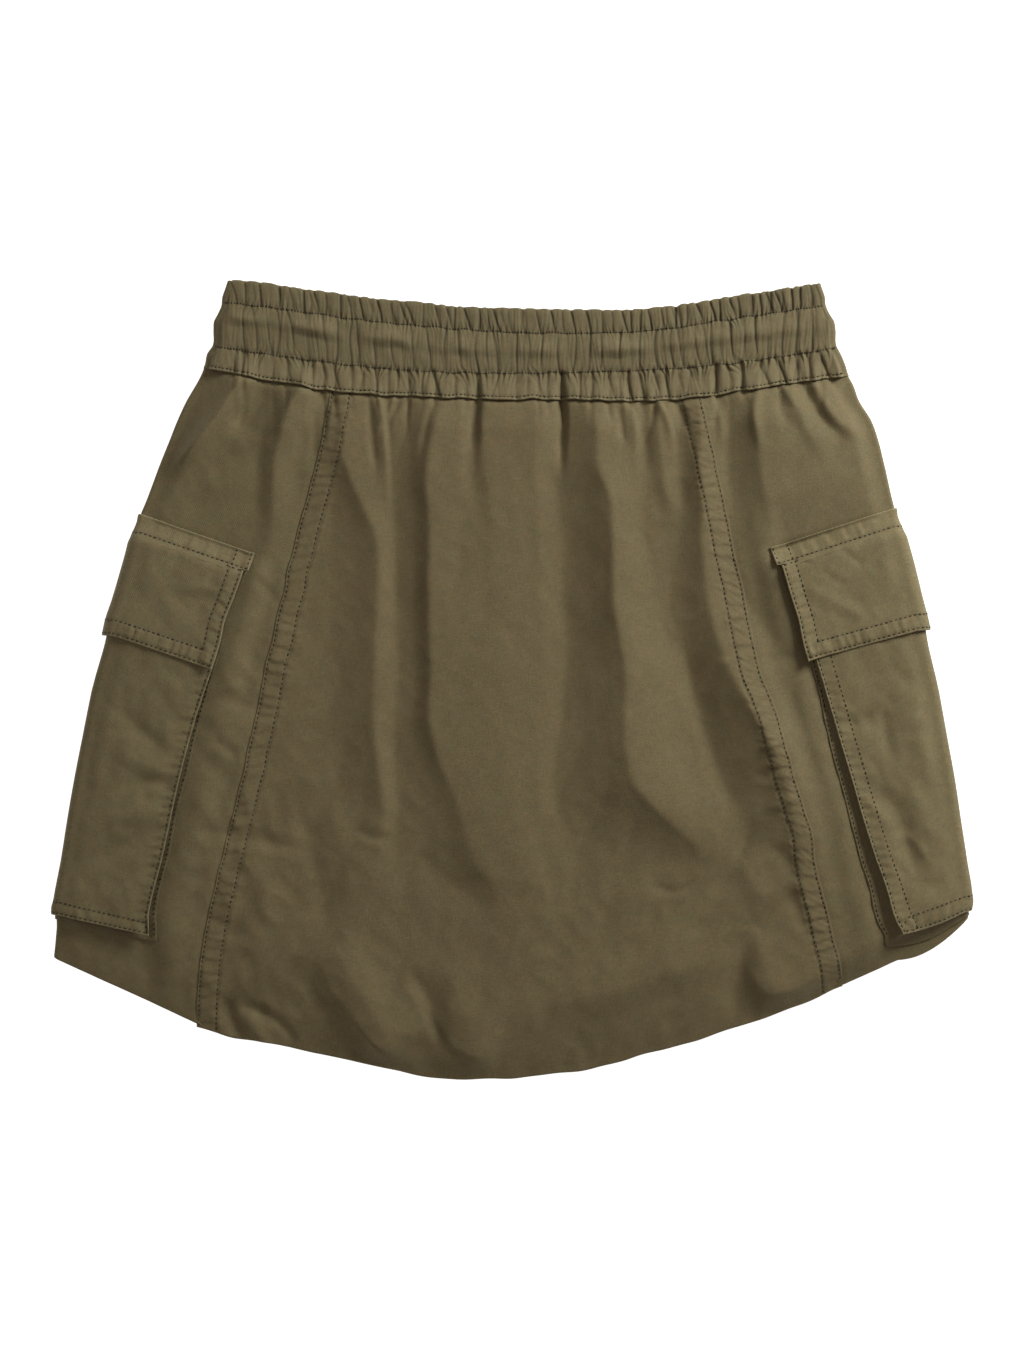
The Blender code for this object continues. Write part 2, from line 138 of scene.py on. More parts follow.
CASING = (
    (-156, 0.3), (-145.5, 0.9), (-138.5, 1.1), (-132, 0.8), (-125.6, 1), (-118.5, 1), (-110, 0.4),
    (-101.3, 0.9), (-94.2, 1.1), (-87.8, 0.9), (-83.4, 1.1), (-74.8, 1.1), (-65.6, 0.9), (-59.5, 0.4),
    (-53.7, 1.1), (-44.6, 1.1), (-36.5, 1), (-28.4, 1.1), (-19.7, 1.1), (-14, 0.5), (-8.4, 1.1), (-1, 0.6),
    (2.2, 1.2), (9, 0.5), (15.4, 1.1), (24, 1.1), (33.8, 1.1), (41.8, 1), (48.3, 1), (58, 1), (64, 0.5),
    (68.9, 1), (77, 1), (81.5, 0.7), (85.5, 0.9), (90.5, 1), (99, 0.6), (106.7, 1.2), (112, 0.4), (118, 1),
    (125, 0.4), (131, 1.1), (138, 0.4), (145.5, 1.1), (153.6, 1.1), (162, 0.8), (170, 0.5),
)
SKIRT_GATHERS = (
    (-160, 0.3), (-150, 0.5), (-145.2, 1.1), (-137, 0.7), (-129, 0.3), (-121.7, 0.6), (-114, 0.3),
    (-108, 0.8), (-102, 1.2), (-96, 0.7), (-87, 0.4), (-80.5, 0.3), (-73.7, 1.2), (-67, 0.3), (-62, 0.6),
    (-56.4, 1.2), (-49, 0.5), (-42, 1.3), (-31, 0.4), (-25.5, 0.3), (-19, 1.3), (-8, 0.4), (2, 0.5), (8, 0.3),
    (13.5, 0.7), (19, 0.5), (26.5, 2.2), (36, 0.7), (43, 0.6), (52, 0.7), (58, 0.6), (62.5, 1.1), (69, 0.7),
    (77, 1.1), (83, 1), (90, 0.3), (96, 0.4), (103, 0.3), (110, 1.5), (117, 0.4), (124, 1), (134, 0.5),
    (144, 1.2), (153.5, 1.1), (160, 0.4), (166.5, 1), (173, 0.4),
)

# The front's large folds as crests and valleys in order from left to right, each (y, x, height) from the
# waist down
FOLDS = {
    "left_foot": (
        (155, -100, 2.3), (135, -99, 2.2), (120, -98, 1.7), (100, -98, 0.5), (60, -99, 0.3), (0, -98, 0.3),
        (-40, -96, 0.3), (-80, -92, 0.5), (-110, -96, 0.4), (-216, -120, 0.2),
    ),
    "left_crest": (
        (155, -93, 2.6), (120, -90, 3.4), (100, -83, 3.4), (80, -76, 3.8), (0, -75, 4), (-40, -73, 3.8),
        (-80, -70, 2.6), (-110, -76, 1.6), (-216, -98, 0.8),
    ),
    "left_valley": (
        (155, -66, 1.4), (100, -65, 1.4), (60, -64, 1.5), (0, -63, 1.6), (-40, -63, 1.4), (-80, -62, 1),
        (-110, -62, 0.8), (-216, -66, 0.3),
    ),
    "left_floor": (
        (155, -56, 1.6), (120, -56.5, 2.2), (60, -55.5, 2.6), (0, -55, 2.5), (-40, -54, 2.2), (-80, -50, 1.6),
        (-110, -46, 1), (-216, -55, 0.3),
    ),
    "lip": (
        (155, -43, 5.2), (100, -46, 6.1), (40, -45.5, 6.1), (0, -46, 5.9), (-20, -45, 5.8), (-40, -40, 5.4),
        (-60, -31, 5), (-80, -24.5, 4.6), (-100, -18, 3.8), (-120, -2, 2.6), (-216, -30, 0.8),
    ),
    "lip_fall": (
        (155, -28, 4.2), (100, -28, 4.8), (60, -28, 5), (0, -26, 5.4), (-40, -24, 5.2), (-80, -12, 4.4),
        (-120, 8, 2.4), (-216, -10, 0.7),
    ),
    "small_valley": (
        (155, -22, 2.8), (120, -22, 3.6), (90, -21, 4.6), (60, -20, 4.9), (0, -16, 5.3), (-40, -14, 5),
        (-80, -4, 4.2), (-120, 13, 2.3), (-216, -2, 0.6),
    ),
    "plateau_left": (
        (155, -16, 4.6), (120, -15, 5), (90, -13, 5.2), (60, -12, 5.1), (0, -8, 5.2), (-40, -6, 4.8),
        (-80, 2, 4), (-120, 17, 2.1), (-216, 4, 0.6),
    ),
    "plateau_right": (
        (155, 16, 4.6), (120, 12, 4.4), (60, 14, 3.8), (0, 14, 3.6), (-40, 14, 3.2), (-80, 16, 2.6),
        (-120, 24, 1.4), (-216, 14, 0.4),
    ),
    "middle_valley": (
        (155, 27, 1), (135, 27, 1.6), (120, 24, 2.2), (100, 24, 2.4), (60, 27, 2), (0, 27, 1.8),
        (-40, 25, 1.6), (-60, 23, 1.4), (-90, 34, 1), (-120, 40, 0.8), (-216, 34, 0.3),
    ),
    "middle_crest": (
        (155, 38, 4), (140, 44, 5.6), (115, 46, 7.4), (97, 52, 8.4), (80, 53, 8.6), (40, 56, 8.6),
        (0, 60, 8.6), (-40, 62, 8.4), (-58, 67, 7.8), (-72, 80, 6.2), (-86, 95, 3.6), (-98, 104, 1.4),
        (-120, 104, 0.9), (-216, 80, 0.6),
    ),
    "right_valley": (
        (155, 68, 2.4), (120, 66, 4.2), (100, 70, 4.4), (80, 71, 4.2), (55, 79, 3.4), (40, 81, 2.8),
        (0, 90, 2), (-40, 99, 1.6), (-70, 116, 1.2), (-95, 120, 0.9), (-120, 124, 0.8), (-216, 100, 0.3),
    ),
    "seam_valley": (
        (155, 88, 3), (130, 88, 3.2), (100, 90, 3.6), (70, 90, 3.2), (50, 86, 2.6), (20, 90, 2), (0, 95, 1.8),
        (-40, 105, 1.5), (-70, 119, 1.2), (-120, 130, 0.8), (-216, 108, 0.3),
    ),
    "seam_crest": (
        (155, 100, 4.6), (120, 100, 6.2), (100, 101, 6.6), (60, 104, 6), (40, 107, 6), (20, 112, 6.4),
        (5, 117, 7), (-15, 127, 7.6), (-35, 138, 7.4), (-50, 144, 6.2), (-75, 151, 4.4), (-120, 155, 1.8),
        (-216, 150, 0.6),
    ),
    "side_valley": (
        (155, 113, 2.8), (120, 115, 2.6), (100, 117, 2.4), (60, 122, 2.2), (40, 129, 1.8), (15, 146, 1.6),
        (-15, 152, 1.6), (-75, 172, 1), (-216, 170, 0.5),
    ),
    "side_crest": (
        (155, 127, 6.4), (122, 132, 6.4), (100, 136, 5.6), (80, 140, 4.6), (60, 145, 3.8), (20, 160, 3),
        (-75, 188, 1.4), (-216, 188, 0.8),
    ),
}

# Shorter folds and creases: height (below 0 is a trough), reach of the left and right flank, then (x, y)
# along it. A fold that runs to the right has its left flank below it.
CREASES = (
    (3.6, 14, 9, ((-140, 166), (-156, 143), (-174, 122), (-193, 106))),
    (-1.2, 10, 10, ((-128, 158), (-140, 144), (-152, 134))),
    (1.5, 7, 2.6, ((-143, 168), (-150, 156), (-165, 134), (-176, 122), (-194, 110))),
    (1.3, 24, 9, ((-108, 163), (-114, 150), (-122, 134), (-127, 118))),
    (1, 5, 7, ((-111, 160), (-120, 148), (-126, 130))),
    (1.4, 7, 2.6, ((-73.4, 158), (-70, 142), (-68.4, 124), (-66.6, 84))),
    (0.9, 2.4, 4, ((-61.5, 157), (-65.5, 146), (-69.5, 136))),
    (1.3, 8, 2.6, ((54, 156), (63, 146), (66.5, 134), (66, 112))),
    (1, 4, 2.4, ((75, 156), (81, 146), (85, 134), (86, 118))),
    (1.2, 3, 6, ((133, 160), (130, 148), (130, 136), (134, 120))),
    (0.8, 3, 3, ((144, 160), (149, 152), (153, 144))),
    (2.2, 10, 15, ((-113, 159), (-122, 142), (-128, 118), (-129, 90), (-130, 64))),
    (-0.8, 5, 5, ((-105, 157), (-106, 138), (-108, 106))),
    (0.6, 12, 12, ((-172, 104), (-154, 106), (-138, 118))),
    (0.5, 10, 10, ((-160, 134), (-150, 130), (-140, 122))),
    (-0.7, 3.5, 4, ((-77, 156), (-76, 132), (-73, 106))),
    (-0.8, 3.5, 3.5, ((-59, 155), (-66, 142), (-72, 130))),
    (-1.2, 4, 5, ((-40, 157), (-45, 140), (-50, 114))),
    (-1.2, 3.5, 4.5, ((-19, 156), (-21, 142), (-22, 116))),
    (-2.2, 4, 4, ((26.5, 159), (27, 142), (26.5, 128), (26, 104))),
    (-0.7, 3.5, 3.5, ((54, 155), (58, 140), (61, 120))),
    (-0.8, 6, 5, ((70, 156), (71, 130), (73, 90))),
    (1.2, 7, 11, ((76, 158), (79, 130), (82, 104), (88, 78))),
    (-1.2, 6, 4, ((84, 158), (90, 146), (95, 130))),
    (0.8, 3, 5, ((104, 160), (111, 142), (113, 118))),
    (-0.9, 5, 5, ((142, 155), (145, 145), (148, 134))),
    (1, 6, 8, ((148, 161), (156, 140), (168, 118))),
    (-1.7, 7, 7, ((155, 162), (165, 144), (180, 127))),
    (1.4, 6, 6, ((162, 160), (173, 141), (192, 128))),
    (-1.6, 7, 6, ((170, 165), (184, 148), (196, 132))),
    (-1.1, 9, 14, ((90, 34), (97, -6), (111, -48), (127, -84))),
    (-0.6, 5, 5, ((134, 6), (148, 13), (164, 10))),
    (-0.7, 8, 9, ((-168, -8), (-150, -12), (-130, -12))),
    (0.5, 8, 8, ((-166, -20), (-150, -22), (-134, -24))),
    (-0.7, 9, 9, ((-170, -38), (-156, -50), (-138, -58))),
    (0.6, 8, 9, ((-172, -54), (-168, -66), (-154, -76))),
    (-0.8, 7, 8, ((-184, -78), (-150, -84), (-124, -89), (-98, -98))),
    (0.6, 12, 12, ((-172, -96), (-158, -104), (-150, -122))),
    (-0.6, 4, 5, ((-143, 58), (-134, 50), (-126, 40))),
    (0.6, 4, 5, ((-150, 24), (-141, 32), (-132, 38))),
    (0.6, 4, 4, ((-163, -11), (-152, -4), (-142, -1))),
    (-0.6, 4, 5, ((-163, -31), (-154, -37), (-145, -42))),
    (0.7, 4, 7, ((132, -38), (142, -34), (150, -24))),
    (-0.7, 5, 5, ((128, -52), (140, -50), (152, -40))),
    (0.7, 5, 7, ((134, -70), (146, -66), (156, -58))),
    (0.5, 4, 5, ((112, 30), (120, 34), (127, 40))),
    (-0.5, 4, 5, ((108, 12), (118, 14), (128, 22))),
    (-0.6, 8, 8, ((-176, -114), (-162, -128), (-144, -142))),
    (-0.8, 9, 9, ((-122, -56), (-110, -84), (-104, -112), (-98, -144))),
    (0.9, 14, 24, ((-146, -84), (-134, -108), (-130, -145))),
    (1, 12, 26, ((-100, -62), (-90, -95), (-84, -130))),
    (-0.5, 5, 5, ((-86, -78), (-75, -85), (-60, -84))),
    (-0.8, 16, 20, ((-54, -88), (-36, -106), (-8, -130))),
    (2.2, 26, 22, ((-104, -128), (-88, -158), (-70, -188), (-54, -216))),
    (-1.4, 8, 10, ((-56, -152), (-44, -176), (-31, -208))),
    (1, 12, 18, ((-39, -142), (-28, -174), (-18, -208))),
    (-1.4, 7, 7, ((-154, -166), (-151, -184), (-143, -200))),
    (-1.1, 6, 6, ((-151, -174), (-134, -180), (-122, -190), (-116, -203))),
    (0.8, 8, 8, ((-143, -180), (-136, -191), (-128, -202))),
    (-0.5, 5, 5, ((72, -110), (88, -114), (104, -106))),
    (-1, 8, 9, ((132, -72), (120, -99), (100, -124))),
    (0.9, 12, 14, ((122, -90), (130, -110), (142, -128))),
    (-0.6, 7, 7, ((134, -88), (147, -96), (154, -112))),
    (-1.1, 9, 8, ((157, -110), (138, -129), (116, -150))),
    (-1.2, 15, 10, ((124, -134), (122, -160), (116, -190))),
    (1, 11, 18, ((128, -130), (136, -156), (146, -182))),
    (1.3, 15, 26, ((12, -176), (48, -168), (88, -155), (116, -142))),
    (-0.7, 6, 6, ((150, -110), (154, -126), (160, -142))),
)

# How far above the hem the front begins to roll down to it: x, length
ROLLS = (
    (-248, 26), (-225, 40), (-170, 46), (-125, 52), (-106, 50), (-86, 24), (-68, 12), (-55, 26), (-44, 40),
    (-33, 18), (-14, 15), (2, 32), (30, 38), (60, 38), (90, 40), (112, 42), (124, 40), (136, 18), (165, 14),
    (200, 20), (245, 20),
)

# Rows of each side panel, from the waist to the hem: how many layers of pocket lie on the row, y at the
# skirt's edge, how far the pocket's front edge is from the skirt's edge, y there, y at the seam, and how far
# the row bellies down between the two edges
SIDE_ROWS = {
    "left": (
        (0, 172.5, 45, 164.5, 161, 0), (0, 135.5, 54, 125.8, 121.5, 0), (0.1, 113.4, 60, 98.3, 94.5, 0),
        (0.6, 90.2, 66.4, 69.1, 64.8, 0), (3, 78, 66.2, 57.2, 51.8, 0), (3, 52, 64.5, 31.3, 25.4, 0),
        (3, 25.4, 63, 5.4, -1.1, 0), (2, -5.4, 59.5, -23.8, -31.3, 0), (2, -37.8, 57.5, -54, -62.1, 0),
        (2, -70.2, 56, -85.3, -93.4, 0), (2, -102.6, 54, -116.1, -124.7, 0),
        (2, -118.8, 53, -130.7, -140.4, 0), (2, -125.8, 52.4, -137.7, -148.5, 0),
        (0.6, -140.7, 52.4, -164.4, -175.8, 0), (0, -150.7, 52.4, -174.4, -186.2, 0),
    ),
    "right": (
        (0, 169, 52, 161.5, 157.5, 0), (0, 135, 60, 125.3, 120.4, 0), (0.1, 113.4, 65, 98.3, 94.5, 0),
        (0.6, 93.4, 68, 73.2, 66.4, 0), (3, 81.5, 67.5, 61.6, 54, 0), (3, 55, 66, 36.7, 28, 0),
        (3, 28, 64, 11.3, 1.6, 0), (2, -5.4, 60.5, -21, -28.6, 0), (2, -32.4, 57.5, -47.5, -56.7, 0),
        (2, -59.4, 54, -73.4, -84.2, 0), (2, -86.4, 49.5, -100.4, -110.7, 0),
        (2, -115, 41.5, -129.6, -137.7, 0), (2, -122.6, 37, -136.6, -144.7, 2),
        (1.2, -124.6, 37, -142.7, -155.2, 4), (0.8, -126.4, 37, -151.7, -165.4, 6.2),
    ),
}
FLAP_TOP = {"left": 69.1, "right": 73.2}  # rows by their reach_y
MOUTH = {"left": 57.2, "right": 61.6}
FLAP_BOTTOM = {"left": 5.4, "right": 11.3}
POCKET_BOTTOM = {"left": -137.7, "right": -136.6}

# The hem under the front panel, (x, y)
HEM = (
    (-248, -150.7), (-196, -175.4), (-176, -186), (-161, -190.2), (-150, -193.8), (-139, -195),
    (-117.5, -199.4), (-96, -203.6), (-74.5, -208.4), (-63.5, -210.8), (-52.5, -213.6), (-42, -215),
    (-31, -216), (-12, -215.2), (1.5, -215.4), (23, -212.8), (44.5, -210), (55.5, -207), (77, -201),
    (98.5, -195.4), (120, -188), (142, -180.8), (163.5, -172.4), (174, -167.2), (186, -162.6), (208, -151.7),
    (245, -126.4),
)


def curve(knots, values, at):
    """A smooth curve through the values at rising knots, read at the given places."""
    knots, values, at = (np.asarray(v, float) for v in (knots, values, at))
    slopes = np.gradient(values, knots)
    i = np.clip(np.searchsorted(knots, at) - 1, 0, len(knots) - 2)
    span = knots[i + 1] - knots[i]
    f = np.clip((at - knots[i]) / span, 0.0, 1.0)
    start = values[i] * (1 + 2 * f) * (1 - f) ** 2 + slopes[i] * span * f * (1 - f) ** 2
    end = values[i + 1] * f * f * (3 - 2 * f) + slopes[i + 1] * span * f * f * (f - 1)
    return start + end


def arrays(*values):
    """The values as arrays of numbers, all of one shape."""
    return np.broadcast_arrays(*(np.asarray(v, float) for v in values))


def together(*parts):
    """Points or directions made of their parts."""
    return np.stack(arrays(*parts), axis=-1)


def between(low, high, share):
    """The value that is a share of the way from low to high."""
    return low + (high - low) * share


def bump(at, centre, width, power=2):
    """1 at the centre, and falling to nothing beyond the width on both sides."""
    return np.exp(-((at - centre) / width) ** power)


def fading(distance, length):
    """1 up to distance 0, and fading beyond it."""
    return np.exp(-np.maximum(distance, 0.0) / length)


def ramp(low, high, at):
    """0 below low, 1 above high, and smooth between them."""
    f = np.clip((np.asarray(at, float) - low) / (high - low), 0.0, 1.0)
    return f * f * (3 - 2 * f)


def column(table, k, y):
    """Column k of a table that runs down in y, read at height y."""
    rows = np.array(table, float)[::-1]
    return curve(rows[:, 0], rows[:, k], y)


def edge_x(side, y):
    """The x of the skirt's left or right edge at height y."""
    return column(OUTLINE, TABLE_COLUMN[side], y)


def seam_x(side, y):
    """The x of the left or right felled seam's ditch at height y."""
    waver = 0.22 * ripple(y, 0.0 * np.asarray(y, float), 15.0, 32 + TABLE_COLUMN[side])
    return column(SEAMS, TABLE_COLUMN[side], y) + waver


def line_y(points, x):
    """The y of a line that runs from left to right, at x."""
    return curve(*np.array(points, float).T, x)


def inward(side):
    """The x direction from the given edge towards the middle."""
    return 1.0 if side == "left" else -1.0


def ripple(x, y, size, seed):
    """An uneven smooth field, mostly between -1 and 1, with bumps about size across."""
    draw = np.random.default_rng(seed)
    total = np.zeros(np.broadcast(x, y).shape)
    for _ in range(14):
        angle = draw.uniform(0.0, math.pi)
        turns = 2 * math.pi / (size * draw.uniform(0.75, 1.5))
        phase = draw.uniform(0.0, 2 * math.pi)
        total = total + np.sin((x * math.cos(angle) + y * math.sin(angle)) * turns + phase)
    return total / 3.2


def large_folds(x, y):
    """The height of the front's crests and valleys over the cloth's resting level.

    A flank that rises to the right starts softly in its valley and ends at a crisper crest.
    """
    x, y = arrays(x, y)
    x = x + 0.8 * ripple(0.3 * x, y, 80.0, 3) + 0.2 * ripple(0.5 * x, y, 26.0, 4)
    places = [edge_x("left", y), *(column(points, 1, y) for points in FOLDS.values()), edge_x("right", y)]
    heights = [0.0 * y, *(column(points, 2, y) for points in FOLDS.values()), 0.0 * y]
    total = 0.0 * y
    for shift in (-1.4, -0.8, -0.2, 0.2, 0.8, 1.4):
        at = x + shift
        for here, there, low, high in zip(places, places[1:], heights, heights[1:]):
            f = np.clip((at - here) / (there - here), 0.0, 1.0)
            rise = np.where(high > low, f ** 1.4, 0.6 * f + 0.4 * f * f * (3 - 2 * f))
            total += np.where((at >= here) & (at < there), between(low, high, rise), 0.0)
    return total / 6


def creases(x, y, table):
    """The height of single folds, each a soft ridge or trough that tapers at both ends."""
    x, y = arrays(x, y)
    total = np.zeros(x.shape)
    at = np.linspace(0.0, 1.0, 15)
    for height, left, right, points in table:
        points = np.array(points, float)
        low = points.min(axis=0) - max(left, right)
        high = points.max(axis=0) + max(left, right)
        near = (x > low[0]) & (x < high[0]) & (y > low[1]) & (y < high[1])
        if not near.any():
            continue
        knots = np.linspace(0.0, 1.0, len(points))
        path = together(*(curve(knots, values, at) for values in points.T))
        here = together(x[near], y[near])
        nearest = np.full(len(here), np.inf)
        place, side = np.zeros((2, len(here)))
        for k, step in enumerate(np.diff(path, axis=0)):
            offset = here - path[k]
            f = np.clip(offset @ step / (step @ step), 0.0, 1.0)
            away = offset - f[:, None] * step
            distance = np.hypot(away[:, 0], away[:, 1])
            closer = distance < nearest
            nearest = np.where(closer, distance, nearest)
            place = np.where(closer, (k + f) / (len(path) - 1), place)
            side = np.where(closer, step[0] * away[:, 1] - step[1] * away[:, 0], side)
        flank = np.clip(nearest / np.where(side < 0, left, right), 0.0, 1.0)
        profile = 0.5 * np.cos(flank * math.pi / 2) ** 2 + 0.5 * (1 - flank) ** 1.5
        sewn_in = below_band(*points[0]) < 2.0
        begins = np.maximum(ramp(0.0, 0.3, place), sewn_in)
        total[near] += height * profile * begins * (1 - ramp(0.6, 1.0, place))
    return total


def gathers(x, drop, valleys, seed, narrow, puff, lean=(-0.22, 0.3)):
    """Gathered cloth: nearly flat puffs between narrow uneven creases.

    drop is the distance down from their middle, and lean is how far the creases run to the right for each
    millimetre down, least and most. Gives the height and, from 0 to 1, how deep in a crease a place is; the
    waistband darkens its creases by this as painted shade.
    """
    x, drop = arrays(x, drop)
    draw = np.random.default_rng(seed)
    listed = np.array(valleys, float)
    fine = draw.uniform(listed[0, 0], listed[-1, 0], len(listed))
    table = np.concatenate([listed, together(fine, draw.uniform(0.1, 0.45, len(fine)))])
    at = x - 0.2 * ripple(0.2 * x, drop, 16.0, seed + 1)
    total, deep = np.zeros((2, *x.shape))
    for place, depth in table:
        slant, bend, fade, turned = draw.uniform((lean[0], -0.012, -0.09, 0.0), (lean[1], 0.012, 0.09, 1.0))
        across = at - place - slant * drop - bend * drop * drop
        depth = depth * np.clip(1 + fade * drop, 0.1, 1.4)
        left, right = (2.6, 1.0) if turned < 0.82 else (1.0, 2.6)
        distance = np.sqrt(across ** 2 + 0.05) - 0.22
        total -= depth * np.exp(-distance / (np.where(across < 0, left, right) * narrow))
        deep += depth * bump(across, 0.0, 0.5)
    index = np.clip(np.searchsorted(listed[:, 0], at) - 1, 0, len(listed) - 2)
    gap = listed[index + 1, 0] - listed[index, 0]
    f = np.clip((at - listed[index, 0]) / gap, 0.0, 1.0)
    return total + puff * np.minimum(gap, 9.0) / 7.0 * np.sin(math.pi * f), np.clip(deep, 0.0, 1.0)


def tucks(at, pitch, seed):
    """A run of small uneven tucks between about -0.5 and 0.5, each falling gently and then stepping up."""
    at = np.asarray(at, float) / pitch + 0.24 * ripple(at, 0.0 * at, 4.1 * pitch, seed)
    number = np.floor(at)
    f = at - number
    size = 0.3 + 0.7 * np.mod(np.abs(np.sin(number * 12.99 + seed)) * 437.6, 1.0)
    return size * np.where(f < 0.72, 0.5 - f / 0.72, ramp(0.72, 1.0, f) - 0.5)


def crumple(x, y):
    """The small flat facets and soft creases of washed cotton, stronger beside the left seam and low down."""
    facets = 0.24 * np.sqrt(ripple(x, 0.6 * y, 34.0, 14) ** 2 + 0.01)
    facets = facets - 0.11 * np.sqrt(ripple(x, 0.8 * y, 16.0, 16) ** 2 + 0.01)
    soft = 0.12 * ripple(x, y, 38.0, 11) + 0.05 * ripple(x, y, 17.0, 12)
    low = 1 - ramp(-130.0, -60.0, y)
    beside = bump(x, -140.0, 32.0) * (1 - ramp(-10.0, 60.0, y))
    return (soft + facets) * (1 + 0.5 * low + 1.8 * beside)


def below_band(x, y):
    """How far a point of the skirt is below the waistband's lower edge."""
    return band_line("bottom", x) - y


def seam_bars(q, y, seed):
    """The puckers across a felled seam at q, the distance from its ditch."""
    place = y + 0.3 * q * np.sin(y / 21.0 + seed) + 0.5 * ripple(q, y, 9.0, 91)
    coarse = tucks(place, 6.6, round(10 * seed)) * (0.9 + 0.2 * np.sin(y / 13.0 + 2 * seed))
    return coarse + 0.5 * tucks(place - 0.6 * q, 3.7, round(10 * seed) + 1)


def felled(q, y, seed):
    """The height of a felled seam at q, with the puckers between its two rows and a little beyond them."""
    inside = ramp(0.3, 2.6, q) * (1 - ramp(9.0, 16.0, q))
    strength = 0.66 + 0.05 * seed + 0.12 * np.sin(y / 19.0 + seed)
    raised = 0.3 * (1 - ramp(9.0, 15.5, q))
    rows = 0.2 * bump(q, 1.3, 0.7) + 0.28 * bump(q, STRIP - 0.8, 0.75)
    return raised + strength * seam_bars(q, y, seed) * inside - rows


def out_of_band(drop):
    """How far the skirt's front has come up from under the waistband, from 0 to 1."""
    return ramp(-8.0, 3.5, drop)


def back_out_of_band(drop):
    """The same for its back, which lies flat farther down."""
    return ramp(-1.0, 15.0, drop)


def front_height(x, y):
    """The height of the skirt's front over its resting level, without seams."""
    drop = below_band(x, y)
    bare = between(0.5, 1.0, ramp(-4.0, 18.0, drop))
    total = FOLD_DEPTH * (large_folds(x, y) * bare + creases(x, y, CREASES) * ramp(-5.0, 0.5, drop))
    pleats = gathers(x, drop, SKIRT_GATHERS, 21, 1.3, 0.4)[0] + 0.35
    total = total + 1.7 * np.minimum(pleats, 0.0) * fading(drop, 14.0) * ramp(-3.0, 2.0, drop)
    above_hem = (y - line_y(HEM, x)) / line_y(ROLLS, x + 3.0 * ripple(x, y, 30.0, 15))
    above_hem = np.clip(above_hem, 0.0, 1.0)
    risen = 0.55 * above_hem + 0.45 * above_hem ** 2 * (3 - 2 * above_hem)
    total = total + HEM_ROLL * risen * between(1.0, 0.6, ramp(-70.0, 70.0, y))
    return total + crumple(x, y) * ramp(-2.0, 7.0, drop)


def rim(distance, round_off):
    """How far a face of cloth falls away at the given distance from its rounded border."""
    f = 1 - np.clip(distance / round_off, 0.0, 1.0)
    return round_off * (1 - np.sqrt(1 - 0.96 * f * f))


def stations(start, end, step, fine=()):
    """Places from start to end about step apart, with the fine distances added in from both ends."""
    fine = math.copysign(1.0, end - start) * np.array((0.0, *fine))
    count = max(2, int(round((abs(end - start) - 2 * abs(fine[-1])) / step)))
    middle = np.linspace(start + fine[-1], end - fine[-1], count + 1)[1:-1]
    return np.concatenate([start + fine, middle, (end - fine)[::-1]])


def padded(places):
    """The places with a few more between the middle ones, until every third one is on the coarse grid."""
    while (len(places) - 1) % 3:
        widest = np.argmax(np.abs(np.diff(places)))
        places = np.insert(places, widest + 1, (places[widest] + places[widest + 1]) / 2)
    return places


def filled_up(places, index, others):
    """The places with a few more before the index, until they and the others count up in threes."""
    while (len(places) + others - 1) % 3:
        places = np.insert(places, index, (places[index - 1] + places[index]) / 2)
    return places


def lower_of_neighbours(height):
    """Each height replaced by the lowest next to it: a coarse inner face stays below a puckered outer one."""
    result = height.copy()
    for axis in (0, 1):
        for shift in (-1, 1):
            result = np.minimum(result, np.roll(height, shift, axis))
    border = np.ones(height.shape, bool)
    border[1:-1, 1:-1] = False
    return np.where(border, height, result)


def placed(name, data):
    """A new object of this name in the scene."""
    thing = bpy.data.objects.new(name, data)
    bpy.context.scene.collection.objects.link(thing)
    return thing


def grid_faces(number, ring, flip):
    """The quads of a grid of numbered points."""
    after = np.roll(number, -1, axis=1) if ring else number[:, 1:]
    here = number if ring else number[:, :-1]
    quads = np.stack([here[:-1], after[:-1], after[1:], here[1:]], axis=-1).reshape(-1, 4)
    return (quads[:, ::-1] if flip else quads).tolist()


def border_faces(fine, coarse, step, ring):
    """Triangles between a fine border and a coarse one that has every step-th point."""
    faces = []
    for g in range(len(coarse) if ring else len(coarse) - 1):
        after = coarse[(g + 1) % len(coarse)]
        for j in range(step):
            here = fine[g * step + j]
            there = fine[(g * step + j + 1) % len(fine)]
            faces.append((here, there, coarse[g] if j <= step // 2 else after))
            if j == step // 2:
                faces.append((there, after, coarse[g]))
    return faces


